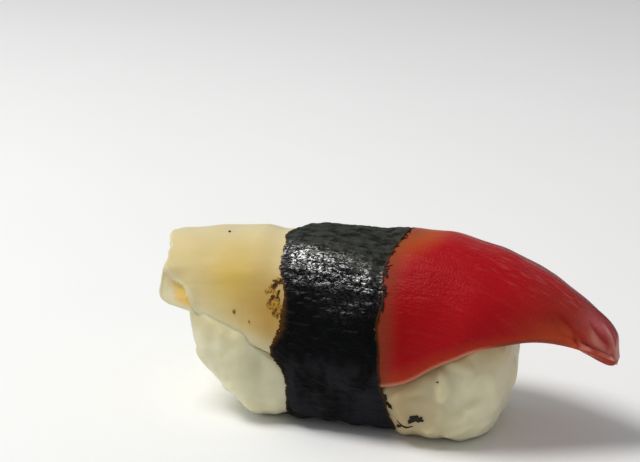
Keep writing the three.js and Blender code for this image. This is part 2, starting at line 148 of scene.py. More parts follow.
def crossed(pattern: Waves, x: Array, around: Array) -> Array:
    """Two waves laid across each other.

    Args:
        pattern: How fast each of the two waves runs along x, and across or round.
        x: Places along x.
        around: Places across or round.

    Returns:
        Heights from -1 to 1.
    """
    (first_along, first_around), (second_along, second_around) = pattern
    first = np.sin(first_along * x + first_around * around)
    return first * np.sin(second_along * x + second_around * around + 1)


def lattice(cell: Array, seed: int) -> Array:
    """Repeatable random values, mixed from the bits of whole numbers.

    Args:
        cell: Cells of whole numbers, of shape (..., 3).
        seed: Which values.

    Returns:
        Values from -1 to 1, of shape (...).
    """
    mixed = (cell * CELL_PRIMES).sum(-1)
    mixed = (mixed ^ (seed * SEED_PRIME)) & POSITIVE_BITS
    for shift, factor in BIT_MIXING:
        mixed = ((mixed ^ (mixed >> shift)) * factor) & POSITIVE_BITS
    return 2 * ((mixed ^ (mixed >> 16)) & LOW_BITS) / LOW_BITS - 1


def noise(points: Array, seed: int, octaves: int = 1) -> Array:
    """Smooth noise in space.

    Args:
        points: Points of shape (..., 3), in cells of the coarsest noise.
        seed: Which noise.
        octaves: How many layers, each twice as fine and half as strong as the one before.

    Returns:
        Values of about -1 to 1, of shape (...).
    """
    total = np.zeros(points.shape[:-1])
    for octave in range(octaves):
        scaled = points * 2**octave
        cell = np.floor(scaled).astype(np.int64)
        part = scaled - cell
        fade = part * part * (3 - 2 * part)
        for corner in itertools.product((0, 1), repeat=3):
            weight = np.prod(np.where(corner, fade, 1 - fade), axis=-1)
            total += weight * lattice(cell + np.array(corner), seed + octave) / 2**octave
    return total


def sheet_noise(along: Array, across: Array, seed: int, octaves: int, layer: float = 0) -> Array:
    """Smooth noise over a sheet, at places in cells along and across it."""
    return noise(np.stack((along, across, np.full_like(along, layer)), -1), seed, octaves)


@dataclass(frozen=True)
class Wander:
    """An unevenness: its strength, its length along x, how many lie across, and its noise."""

    strength: float
    length: float
    count: float
    seed: int
    layer: float = 0

    def at(self, x: Array, s: Array) -> Array:
        """Unevenness at places on the slice."""
        uneven = sheet_noise(x / self.length, self.count * s, self.seed, 2, self.layer)
        return self.strength * uneven


def all_round(sides: int) -> Array:
    """Angles round a section, from straight down over the near side."""
    return np.linspace(-math.pi / 2, 1.5 * math.pi, sides, endpoint=False)


def round_section(x: Array, radius: Array, turns: Array, middle: float | Array) -> Array:
    """Points at a distance and an angle from the middle of their section."""
    return np.stack((x, -radius * np.cos(turns), middle + radius * np.sin(turns)), -1)


# ---- Meshes


def ring_faces(rings: int, sides: int, wrapped: bool) -> Array:
    """Quads between rings of points.

    Args:
        rings: How many rings, laid one after the other.
        sides: How many points a ring has. Each ring is closed on itself.
        wrapped: Whether the last ring joins the first.

    Returns:
        Faces of shape (n, 4), facing outwards where the rings turn with the clock seen from
        the last one.
    """
    i, k = np.meshgrid(np.arange(rings if wrapped else rings - 1), np.arange(sides), indexing="ij")
    here = i * sides
    there = ((i + 1) % rings) * sides
    following = (k + 1) % sides
    return np.stack((here + k, there + k, there + following, here + following), -1).reshape(-1, 4)


def triangles(quads: Array) -> Array:
    """Quads as triangles, of shape (2 n, 3)."""
    return np.concatenate((quads[:, [0, 1, 2]], quads[:, [0, 2, 3]]))


def make_object(
    name: str,
    points: Array,
    faces: Array,
    material: Material,
    marks: dict[str, Array] | None = None,
) -> Piece:
    """Makes a smooth mesh object in the scene.

    Args:
        name: The piece's name.
        points: Vertices in the frame, in metres, of shape (n, 3).
        faces: Vertex numbers of each face, of shape (m, 3) or (m, 4).
        material: The finish it takes.
        marks: Values for each vertex that the finish reads by name.

    Returns:
        The object, at the origin.
    """
    mesh = bpy.data.meshes.new(name)
    corners = faces.shape[1]
    mesh.vertices.add(len(points))
    mesh.vertices.foreach_set("co", points.astype(np.float32).ravel())
    mesh.loops.add(faces.size)
    mesh.loops.foreach_set("vertex_index", faces.astype(np.int32).ravel())
    mesh.polygons.add(len(faces))
    mesh.polygons.foreach_set("loop_start", np.arange(0, faces.size, corners, dtype=np.int32))
    mesh.update(calc_edges=True)
    mesh.validate()
    mesh.shade_smooth()
    for mark, values in (marks or {}).items():
        attribute = mesh.attributes.new(mark, "FLOAT", "POINT")
        attribute.data.foreach_set("value", values.astype(np.float32).ravel())
    mesh.materials.append(material)
    piece = bpy.data.objects.new(name, mesh)
    bpy.context.scene.collection.objects.link(piece)
    return piece


def fused(rough: Piece, name: str, voxel: float, passes: int) -> Piece:
    """Fuses overlapping closed meshes into one skin, and softens it.

    Args:
        rough: The object that holds them, which is removed.
        name: The name of the new piece.
        voxel: How finely they are fused, in millimetres.
        passes: How many times the skin is softened.

    Returns:
        The new piece, flat on the board where it reaches it.
    """
    remesh = rough.modifiers.new("fuse", "REMESH")
    remesh.mode = "VOXEL"
    remesh.voxel_size = voxel * MM
    soften = rough.modifiers.new("soften", "SMOOTH")
    soften.factor = 0.5
    soften.iterations = passes
    depsgraph = bpy.context.evaluated_depsgraph_get()
    mesh = bpy.data.meshes.new_from_object(rough.evaluated_get(depsgraph))
    mesh.name = name
    heights = np.empty(3 * len(mesh.vertices), dtype=np.float32)
    mesh.vertices.foreach_get("co", heights)
    heights[2::3] = np.maximum(heights[2::3], 0)
    mesh.vertices.foreach_set("co", heights)
    mesh.shade_smooth()
    bpy.data.objects.remove(rough)
    piece = bpy.data.objects.new(name, mesh)
    bpy.context.scene.collection.objects.link(piece)
    return piece


def report(piece: Piece) -> None:
    """Logs a piece's name and its number of faces."""
    log.info("%s: %d faces", piece.name, len(piece.data.polygons))


# ---- Node graphs


@dataclass(frozen=True)
class Blotches:
    """A noise: the size of its blotches in millimetres, its finer layers and its stretch."""

    size: float
    detail: float = 3
    stretch: Triple = (1, 1, 1)


@dataclass(frozen=True)
class Ramp:
    """A smooth change of a value: where it starts and ends, and what it becomes there."""

    start: float
    end: float
    low: float = 0
    high: float = 1


class Graph:
    """A material's node tree, with short words for the nodes that the finishes use."""

    MIX_SHARE, MIX_COLOURS, MIX_RESULT = 0, (6, 7), 2

    def __init__(self, name: str) -> None:
        """Starts a material with one Principled shader.

        Args:
            name: The material's name.
        """
        self.material = bpy.data.materials.new(name)
        self.material.use_nodes = True
        self.tree = self.material.node_tree
        self.shader = self.tree.nodes["Principled BSDF"]
        self.place = self.add("ShaderNodeTexCoord").outputs["Object"]

    def add(self, kind: str, **settings: object) -> bpy.types.Node:
        """Adds a node.

        Args:
            kind: The node's type.
            **settings: Properties that it gets, by name.

        Returns:
            The node.
        """
        node = self.tree.nodes.new(kind)
        for key, value in settings.items():
            setattr(node, key, value)
        return node

    def feed(self, socket: Socket, value: object) -> None:
        """Links a socket to another one, or sets it to a plain value.

        Args:
            socket: The socket that is fed.
            value: The other socket, or the plain value.
        """
        if isinstance(value, Socket):
            self.tree.links.new(value, socket)
        else:
            socket.default_value = value

    def mark(self, name: str) -> Socket:
        """Value that the mesh carries under a name."""
        return self.add("ShaderNodeAttribute", attribute_name=name).outputs["Fac"]

    def follow(self, run: str, wrap: str) -> None:
        """Makes the noises that come next follow a form.

        Args:
            run: The mark that holds the way along it, in metres.
            wrap: The mark that holds the way round it, in metres.
        """
        node = self.add("ShaderNodeCombineXYZ")
        self.feed(node.inputs["X"], self.mark(run))
        self.feed(node.inputs["Y"], self.mark(wrap))
        self.place = node.outputs["Vector"]

    def noise(self, blotches: Blotches) -> Socket:
        """Noise over the object.

        Args:
            blotches: How it looks. The stretch is how much closer together it lies on each axis.

        Returns:
            The socket with its value, from 0 to 1.
        """
        node = self.add("ShaderNodeTexNoise")
        stretched = self.add("ShaderNodeMapping")
        self.feed(stretched.inputs["Vector"], self.place)
        stretched.inputs["Scale"].default_value = blotches.stretch
        self.feed(node.inputs["Vector"], stretched.outputs["Vector"])
        node.inputs["Scale"].default_value = 1 / (blotches.size * MM)
        node.inputs["Detail"].default_value = blotches.detail
        return node.outputs["Fac"]

    def along(self, axis: str, span: Span) -> Socket:
        """Smooth change from 0 to 1 along an axis.

        Args:
            axis: X, Y or Z.
            span: Where it starts and ends, in millimetres.

        Returns:
            The socket with the share.
        """
        node = self.add("ShaderNodeSeparateXYZ")
        self.feed(node.inputs[0], self.place)
        return self.spread(node.outputs[axis], Ramp(span[0] * MM, span[1] * MM))

    def spread(self, value: Socket, ramp: Ramp) -> Socket:
        """Smooth change of a value into a range.

        Args:
            value: The value to change.
            ramp: What it is changed from and to.

        Returns:
            The socket with the result.
        """
        node = self.add("ShaderNodeMapRange", interpolation_type="SMOOTHSTEP")
        self.feed(node.inputs["Value"], value)
        node.inputs["From Min"].default_value = ramp.start
        node.inputs["From Max"].default_value = ramp.end
        node.inputs["To Min"].default_value = ramp.low
        node.inputs["To Max"].default_value = ramp.high
        return node.outputs["Result"]

    def maths(self, operation: str, first: object, second: object) -> Socket:
        """One operation on two values.

        Args:
            operation: Its name in capitals, such as ADD or MAXIMUM.
            first: A number or a socket.
            second: A number or a socket.

        Returns:
            The socket with the result.
        """
        node = self.add("ShaderNodeMath", operation=operation)
        self.feed(node.inputs[0], first)
        self.feed(node.inputs[1], second)
        return node.outputs[0]

    def times(self, first: object, second: object) -> Socket:
        """Product of two values."""
        return self.maths("MULTIPLY", first, second)

    def mix(self, share: object, first: object, second: object) -> Socket:
        """Mix of two colours.

        Args:
            share: How much of the second, from 0 to 1.
            first: A colour or a socket.
            second: A colour or a socket.

        Returns:
            The socket with the mixed colour.
        """
        node = self.add("ShaderNodeMix", data_type="RGBA")
        self.feed(node.inputs[self.MIX_SHARE], share)
        for number, colour in zip(self.MIX_COLOURS, (first, second)):
            self.feed(node.inputs[number], (*colour, 1) if isinstance(colour, tuple) else colour)
        return node.outputs[self.MIX_RESULT]

    def bump(
        self, height: Socket, depth: float, below: Socket | None = None
    ) -> Socket:
        """Bump from a height.

        Args:
            height: Heights from 0 to 1.
            depth: How deep 1 is, in millimetres.
            below: A normal that it lies on.

        Returns:
            The socket with the normal.
        """
        node = self.add("ShaderNodeBump")
        self.feed(node.inputs["Height"], height)
        node.inputs["Distance"].default_value = depth * MM
        if below is not None:
            self.feed(node.inputs["Normal"], below)
        return node.outputs["Normal"]

    def finish(self, **sockets: object) -> Material:
        """Feeds the shader.

        Args:
            **sockets: Values or sockets by the shader's socket names, with _ for a space.

        Returns:
            The finished material.
        """
        for name, value in sockets.items():
            self.feed(self.shader.inputs[name.replace("_", " ")], value)
        return self.material


# ---- Finishes


@dataclass(frozen=True)
class FleshFinish:
    """Moist surf clam flesh: cream at the base, orange and then red towards the tip."""

    cream: Colour = (0.68, 0.585, 0.345)
    straw: Colour = (0.60, 0.43, 0.11)
    # band_shade: painted shade on the cream beside the band's left edge.
    band_shade: Colour = (0.45, 0.27, 0.065)
    pale: Colour = (0.66, 0.64, 0.43)
    pocket: Colour = (0.70, 0.49, 0.15)
    orange: Colour = (0.42, 0.075, 0.018)
    red: Colour = (0.40, 0.007, 0.011)
    wine: Colour = (0.235, 0.002, 0.002)
    brown: Colour = (0.29, 0.030, 0.018)
    rust: Colour = (0.43, 0.045, 0.014)
    plum: Colour = (0.52, 0.125, 0.14)
    flange: Colour = (0.55, 0.075, 0.022)
    tan: Colour = (0.72, 0.32, 0.26)
    # crest_sheen: painted wet sheen, in pink streaks along the crest of the red foot.
    crest_sheen: Colour = (0.60, 0.15, 0.15)
    # crease: painted shade in the creases between the folds at the tip.
    crease: Colour = (0.32, 0.008, 0.006)
    # stain_and_shade: a brown fringe past the band's right edge, part stain from the nori and part
    # painted shade of the band.
    stain_and_shade: Colour = (0.16, 0.050, 0.02)
    # rim: a pale line, a painted highlight along the far upper edge of the foot, and the paler edge
    # of thin flesh low on the near side.
    rim: Colour = (0.56, 0.26, 0.17)
    skin: Colour = (0.10, 0.045, 0.040)
    streak: Colour = (0.50, 0.035, 0.035)
    scatter: Colour = (1.0, 0.35, 0.18)
    clouds: Blotches = Blotches(7, 4)
    cloud_share: Ramp = Ramp(0.35, 0.7)
    cloud_shade: float = 0.93
    fibres: Blotches = Blotches(0.95, 4, (0.10, 1, 1))
    fibre_share: Ramp = Ramp(0.52, 0.75, 0, 0.30)
    fibre_depth: float = 0.16
    veins: Blotches = Blotches(1.3, 3, (1, 0.12, 1))
    vein_depth: float = 0.03
    threads: Blotches = Blotches(0.40, 4, (0.16, 1, 1))
    thread_share: Ramp = Ramp(0.50, 0.70)
    thread_breaks: Blotches = Blotches(2.2, 2, (0.5, 1, 1))
    break_share: Ramp = Ramp(0.40, 0.60, 0.15, 1)
    grain: tuple[Blotches, Blotches] = (Blotches(0.42, 3, (0.25, 1, 1)), Blotches(0.40, 2))
    grain_depth: float = 0.12
    roughness: Ramp = Ramp(0.3, 0.7, 0.28, 0.40)

    def material(self) -> Material:
        """Mixes the colours by the marks of the slice's mesh.

        Returns:
            The material.
        """
        graph = Graph("flesh")
        on_red = graph.mark("red")
        clouds = graph.noise(self.clouds)
        graph.follow("run", "wrap")
        fibres = graph.noise(self.fibres)
        veins = graph.noise(self.veins)
        fainter = tuple(self.cloud_shade * part for part in self.cream)
        colour = graph.mix(graph.spread(clouds, self.cloud_share), self.cream, fainter)
        # band_shade among these is painted shade beside the band.
        for mark in ("straw", "band_shade", "pale", "pocket"):
            colour = graph.mix(graph.mark(mark), colour, getattr(self, mark))
        red = graph.mix(graph.spread(fibres, self.fibre_share), self.red, self.streak)
        # crease among these is painted shade in the creases at the tip.
        for mark in ("wine", "brown", "rust", "flange", "plum", "tan", "crease"):
            red = graph.mix(graph.mark(mark), red, getattr(self, mark))
        # Painted sheen in broken streaks along the crest.
        threads = graph.spread(graph.noise(self.threads), self.thread_share)
        broken = graph.spread(graph.noise(self.thread_breaks), self.break_share)
        sheen_streaks = graph.times(graph.mark("crest_sheen"), graph.times(threads, broken))
        red = graph.mix(sheen_streaks, red, self.crest_sheen)
        colour = graph.mix(graph.mark("orange"), colour, self.orange)
        colour = graph.mix(on_red, colour, red)
        # Stain and painted shade past the band's right edge, on the orange and red part.
        band_stain_and_shade = graph.times(graph.mark("stain_and_shade"), graph.mark("orange"))
        colour = graph.mix(band_stain_and_shade, colour, self.stain_and_shade)
        for mark in ("skin", "rim"):
            colour = graph.mix(graph.mark(mark), colour, getattr(self, mark))
        grain = graph.maths("ADD", *(graph.noise(blotches) for blotches in self.grain))
        normal = graph.bump(graph.times(fibres, on_red), self.fibre_depth)
        normal = graph.bump(graph.times(grain, on_red), self.grain_depth, normal)
        normal = graph.bump(veins, self.vein_depth, normal)
        return graph.finish(
            Base_Color=colour,
            Roughness=graph.spread(clouds, self.roughness),
            Normal=normal,
            Subsurface_Weight=0.15,
            Subsurface_Radius=self.scatter,
            Subsurface_Scale=1.5 * MM,
            Specular_IOR_Level=0.05,
        )


@dataclass(frozen=True)
class NoriFinish:
    """Moist nori: black with a green cast, brown and thin at its torn edges."""

    sheet: Colour = (0.0016, 0.0018, 0.0020)
    # dust_and_sheen: the grey-green of the band's top, part dust and part painted sheen of the
    # light on the top face.
    dust_and_sheen: Colour = (0.042, 0.045, 0.036)
    # low_sheen: painted bluish sheen, low on the band near the board.
    low_sheen: Colour = (0.015, 0.015, 0.019)
    edge: Colour = (0.085, 0.034, 0.006)
    smears: Blotches = Blotches(3.5, 4, (1, 1, 0.5))
    smear_share: Ramp = Ramp(0.36, 0.62)
    wrinkles: Blotches = Blotches(1.0, 4, (0.28, 1, 1))
    wrinkle_depth: float = 0.40
    top_blotches: Blotches = Blotches(0.8, 6, (0.4, 1, 1))
    top_blotch_share: Ramp = Ramp(0.36, 0.62, 0.2, 1)
    blisters: Blotches = Blotches(0.36, 2)
    blister_depth: float = 0.12
    drops: Blotches = Blotches(0.28, 3, (0.5, 1, 1))
    drop_share: Ramp = Ramp(0.42, 0.60)
    patches: Blotches = Blotches(2.4, 2)
    patch_share: Ramp = Ramp(0.36, 0.56, 0.45, 1)
    wet_wrinkle_depth: float = 0.2
    wet_blister_depth: float = 0.10
    roughness: Ramp = Ramp(0.35, 0.65, 0.38, 0.55)

    def material(self) -> Material:
        """Mixes the colours by where dust and painted sheen lie on the top, where painted sheen
        lies low, and how near an edge the mesh is. The moist places get a glossy coat.

        Returns:
            The material.
        """
        graph = Graph("nori")
        smears = graph.noise(self.smears)
        wrinkles = graph.noise(self.wrinkles)
        top_blotches = graph.noise(self.top_blotches)
        blisters = graph.noise(self.blisters)
        # Painted sheen with some dust, in blotches on the top of the band.
        top_dust_and_sheen = graph.times(graph.mark("upper"), graph.spread(top_blotches, self.top_blotch_share))
        colour = graph.mix(top_dust_and_sheen, self.sheet, self.dust_and_sheen)
        # Painted sheen low on the band, in soft smears.
        low_sheen_share = graph.times(graph.mark("lower"), graph.spread(smears, self.smear_share))
        colour = graph.mix(low_sheen_share, colour, self.low_sheen)
        colour = graph.mix(graph.mark("edge"), colour, self.edge)
        wrinkled = graph.bump(wrinkles, self.wrinkle_depth)
        drops = graph.spread(graph.noise(self.drops), self.drop_share)
        patches = graph.spread(graph.noise(self.patches), self.patch_share)
        wet_wrinkled = graph.bump(wrinkles, self.wet_wrinkle_depth)
        return graph.finish(
            Base_Color=colour,
            Roughness=graph.spread(smears, self.roughness),
            Normal=graph.bump(blisters, self.blister_depth, wrinkled),
            Specular_IOR_Level=0.05,
            Coat_Weight=graph.times(graph.mark("moist"), graph.times(drops, patches)),
            Coat_Roughness=0.26,
            Coat_IOR=2.5,
            Coat_Normal=graph.bump(blisters, self.wet_blister_depth, wet_wrinkled),
        )


@dataclass(frozen=True)
class RiceFinish:
    """Cooked rice: milky, moist, letting light in. Its spans are along X and Z."""

    grain: Colour = (0.68, 0.64, 0.43)
    milky: Colour = (0.72, 0.69, 0.49)
    creamy: Colour = (0.66, 0.585, 0.345)
    # warm_shade: painted shade beside the band and under the slice, warm as with light bounced off
    # the flesh.
    warm_shade: Colour = (0.44, 0.33, 0.165)
    # painted_light: painted light on the right end of the block.
    painted_light: Colour = (0.80, 0.76, 0.54)
    scatter: Colour = (1.0, 0.85, 0.6)
    clouds: Blotches = Blotches(4.5, 3)
    cloud_share: Ramp = Ramp(0.35, 0.65)
    skin: Blotches = Blotches(0.9, 4)
    skin_depth: float = 0.06
    painted_light_end: Span = (14, 22)
    right_half: Span = (-8, -5)
    off_band: Span = (7, 19)
    slice_shade: Span = (10, 17)
    slice_shade_share: float = 0.42
    creamy_top: Span = (13, 18)
    warm_shade_share: float = 0.85
    roughness: Ramp = Ramp(0.3, 0.7, 0.36, 0.50)

    def material(self) -> Material:
        """Mixes the colours by height and by how near the band and the slice are, with painted
        light at the right end and painted shade beside the band and under the slice.

        Returns:
            The material.
        """
        graph = Graph("rice")
        clouds = graph.noise(self.clouds)
        skin = graph.noise(self.skin)
        colour = graph.mix(graph.spread(clouds, self.cloud_share), self.grain, self.milky)
        # Painted light, brightening the right end of the block.
        colour = graph.mix(graph.along("X", self.painted_light_end), colour, self.painted_light)
        right_half = graph.along("X", self.right_half)
        beside_band = graph.maths("SUBTRACT", right_half, graph.along("X", self.off_band))
        under_slice = graph.times(graph.along("Z", self.slice_shade), right_half)
        under_slice = graph.times(under_slice, self.slice_shade_share)
        shaded = graph.maths("MAXIMUM", beside_band, under_slice)
        colour = graph.mix(graph.along("Z", self.creamy_top), colour, self.creamy)
        # Painted shade beside the band and under the slice.
        colour = graph.mix(graph.times(shaded, self.warm_shade_share), colour, self.warm_shade)
        return graph.finish(
            Base_Color=colour,
            Roughness=graph.spread(skin, self.roughness),
            Normal=graph.bump(skin, self.skin_depth),
            Subsurface_Weight=0.8,
            Subsurface_Radius=self.scatter,
            Subsurface_Scale=3.2 * MM,
            Specular_IOR_Level=0.16,
        )


@dataclass(frozen=True)
class ScrapFinish:
    """Thin scraps of nori, from black to a brown that lets light through."""

    name: str
    dark: Colour
    light: Colour
    blotches: Blotches = Blotches(0.8, 4)
    light_share: Ramp = Ramp(0.38, 0.62)
    depth: float = 0.12
    roughness: Ramp = Ramp(0.3, 0.7, 0.35, 0.55)

    def material(self) -> Material:
        """Mixes the two colours in blotches.

        Returns:
            The material.
        """
        graph = Graph(self.name)
        blotches = graph.noise(self.blotches)
        return graph.finish(
            Base_Color=graph.mix(graph.spread(blotches, self.light_share), self.dark, self.light),
            Roughness=graph.spread(blotches, self.roughness),
            Normal=graph.bump(blotches, self.depth),
            Specular_IOR_Level=0.12,
        )


@dataclass(frozen=True)
class FloorFinish:
    """Plain pale board."""

    pale: Colour = (0.90, 0.90, 0.89)
    paler: Colour = (0.93, 0.93, 0.925)
    clouds: Blotches = Blotches(60, 2)

    def material(self) -> Material:
        """Mixes the two colours in wide clouds.

        Returns:
            The material.
        """
        graph = Graph("floor")
        return graph.finish(
            Base_Color=graph.mix(graph.noise(self.clouds), self.pale, self.paler),
            Roughness=0.8,
            Specular_IOR_Level=0.2,
        )


# ---- Forms


class Face(Enum):
    """The two faces of the slice."""

    OUTER = 1
    UNDER = -1


@dataclass(frozen=True)
class Patch:
    """A mark on the slice: where it lies along and across, how far it reaches, and its height."""

    x: float
    s: float
    reach_x: float
    reach_s: float
    height: float = 1

    def at(self, x: Array, s: Array) -> Array:
        """Height of the patch at places on the slice."""
        return self.height * swell(x, self.x, self.reach_x) * swell(s, self.s, self.reach_s)


@dataclass(frozen=True)
class BandPlace:
    """Where the band of nori crosses, and how it presses what it holds."""

    left: float = -18.6
    right: float = -1.2
    skew: float = 0.19
    pinch: float = 1.0
    pinch_reach: float = 5.0
    left_share: float = 0.75

    def pressed(self, x: Array, y: Array) -> Array:
        """How far the band presses a point in.

        Args:
            x: Where the points lie along the slice.
            y: Where they lie across it.

        Returns:
            Distances in millimetres.
        """
        along = x + self.skew * y
        rising = self.left_share * ease(self.left - self.pinch_reach, self.left, along)
        rising = rising + (1 - self.left_share) * ease(self.left, self.right, along)
        return self.pinch * (rising - ease(self.right, self.right + self.pinch_reach, along))


@dataclass
class SliceForm:
    """Form of the slice. A place on it is x along it and s across, from -1, near, to 1, far."""

    band: BandPlace
    base_x: float = -40.9
    tip_x: float = 38
    crest: Knots = (
        (-41, 26.2), (-31, 27.2), (-20, 28.4), (-10, 29.6), (0, 29.9), (8, 29.9),
        (16, 28.2), (24, 24.8), (31, 20.6), (36, 16.9), (38, 15),
    )
    half_girth: Knots = (
        (-41, 14.8), (-31, 16.8), (-20, 21), (-10, 25), (0, 26.8), (6, 25.2), (12, 21.3),
        (18, 17.1), (24, 12.7), (30, 7.6), (34, 4.6), (37, 2.3), (38, 1.4),
    )
    drape_radius: Knots = ((-40, 13), (-30, 11.5), (-12, 10.2), (10, 10.2), (22, 10.8), (38, 8))
    drape_angle: Knots = ((-40, 78), (-18, 87), (0, 90), (12, 87), (24, 80), (38, 66))
    thickness: Knots = (
        (-40, 3.4), (-30, 4.4), (-10, 5), (6, 5.4), (24, 6.2), (34, 6),
        (36, 5.2), (37.2, 4), (38, 2.4),
    )
    edge_fullness: float = 3
    edge_thinning: Knots = (
        (-41, 0.5), (-34, 0.6), (-31, 0.85), (-22, 0.85), (-17, 0), (15, 0), (23, 0.5), (38, 0.35),
    )
    thinning_start: float = 0.45
    lean_share: Knots = ((8, 0), (20, 0.55), (30, 1), (35, 1), (38, 0.05))
    cut_setback: Knots = (
        (0, 0), (0.2, 1.4), (0.4, 2.6), (0.6, 2.8), (0.72, 2.6), (0.8, 2.9), (0.88, 3.4),
        (0.95, 4.1), (1, 5.4),
    )
    cut_far_share: float = 0.6
    cut_blend_x: float = -22
    cut_raggedness: float = 0.25
    cut_waves: Span = (9, 23)
    cut_wave_share: float = 0.6
    notch_s: float = -0.31
    notch_reach: float = 0.05
    notch_depth: float = 0.7
    furrow_s: Knots = ((27, -0.62), (33, -0.86), (38, -0.84))
    furrow_x: Span = (27, 31)
    furrow_reach: float = 0.09
    furrow_depth: float = 0.8
    hollow: Patch = Patch(-37.6, -0.8, 2.6, 0.11, -0.55)
    lip: Patch = Patch(-38.6, -0.6, 2.4, 0.07, 0.5)
    wave_height: float = 0.12
    waves: Waves = ((0.55, 3), (0.2, 5))
    drape_steps: int = 12
    slope_step: float = 0.25
    closer_at_tip: float = 0.14

    def middle_layer(self, x: Array, s: Array) -> tuple[Array, Array, Array]:
        """Follows the middle layer of the slice down its drape.

        Args:
            x: Stations.
            s: Places across.

        Returns:
            y, the drop below the crest, and the angle of the layer there.
        """
        length = np.abs(s) * through(self.half_girth, x)
        full_angle = np.radians(through(self.drape_angle, x))
        radius = through(self.drape_radius, x)
        y = np.zeros_like(length)
        drop = np.zeros_like(length)
        for i in range(self.drape_steps):
            share = (i + 0.5) / self.drape_steps
            angle = full_angle * np.tanh(share * length / (radius * full_angle))
            y += np.cos(angle) * length / self.drape_steps
            drop += np.sin(angle) * length / self.drape_steps
        end = full_angle * np.tanh(length / (radius * full_angle))
        return np.sign(s) * y, drop, np.sign(s) * end

    def in_furrow(self, x: Array, s: Array) -> Array:
        """How deep in the furrow beside the tip a place is, from 0 to 1."""
        return ease(*self.furrow_x, x) * swell(s, through(self.furrow_s, x), self.furrow_reach)

    def relief(self, x: Array, s: Array) -> Array:
        """Height of the outer face over its smooth form."""
        height = self.wave_height * crossed(self.waves, x, s) + self.lip.at(x, s)
        return height + self.hollow.at(x, s) - self.furrow_depth * self.in_furrow(x, s)

    def setback(self, s: Array) -> Array:
        """How far the cut base is set back, ragged as cut flesh is.

        Args:
            s: Places across.

        Returns:
            Distances in millimetres.
        """
        slant = np.where(s < 0, 1, self.cut_far_share) * through(self.cut_setback, np.abs(s))
        slow, quick = self.cut_waves
        ragged = np.sin(slow * s + 1) + self.cut_wave_share * np.sin(quick * s)
        notch = self.notch_depth * swell(s, self.notch_s, self.notch_reach)
        return slant + self.cut_raggedness * ragged + notch

    def point(
        self, x: Array, s: Array, face: Face, inset: float | Array = 0, extra: float | Array = 0
    ) -> Array:
        """Points of the slice.

        Args:
            x: Stations.
            s: Places across.
            face: Which face they lie on.
            inset: How much thinner each half of the slice is there.
            extra: Relief that is added to the outer face.

        Returns:
            Points of shape (..., 3).
        """
        y, drop, angle = self.middle_layer(x, s)
        fullness = np.maximum(0, 1 - np.abs(s) ** self.edge_fullness) ** (1 / self.edge_fullness)
        thin = ease(self.thinning_start, 1, np.abs(s))
        thinner = 1 - through(self.edge_thinning, x) * thin
        half = np.maximum(0, through(self.thickness, x) / 2 * fullness * thinner - inset)
        relief = 0
        if face is Face.OUTER:
            relief = (self.relief(x, s) + extra) * np.sqrt(fullness)
        out = face.value * half + relief - self.band.pressed(x, y)
        rise = through(self.crest, x + self.slope_step) - through(self.crest, x - self.slope_step)
        lean = np.arctan(rise / (2 * self.slope_step)) * through(self.lean_share, x)
        up = out * np.cos(angle) - drop
        in_cut = np.clip((self.cut_blend_x - x) / (self.cut_blend_x - self.base_x), 0, 1)
        return np.stack(
            (
                x + self.setback(s) * in_cut - np.sin(lean) * up,
                y + out * np.sin(angle),
                through(self.crest, x) + np.cos(lean) * up,
            ),
            -1,
        )

    def box_middle(self, stations: int, sides: int) -> Array:
        """Middle of the box round the slice when it is divided so finely.

        Args:
            stations: Steps along the slice, a little closer together towards the tip.
            sides: Steps across each face.

        Returns:
            The middle, as a point.
        """
        even = np.linspace(0, 1, stations + 1)
        closer = self.closer_at_tip
        share = (1 - closer) * even + closer * np.sin(even * math.pi / 2)
        x = self.base_x + (self.tip_x - self.base_x) * share
        s = -np.cos(math.pi * np.arange(sides + 1) / sides)
        s[-1] = 1
        grid_x, grid_s = np.meshgrid(x, s, indexing="ij")
        points = np.concatenate([self.point(grid_x, grid_s, face).reshape(-1, 3) for face in Face])
        return (points.min(0) + points.max(0)) / 2


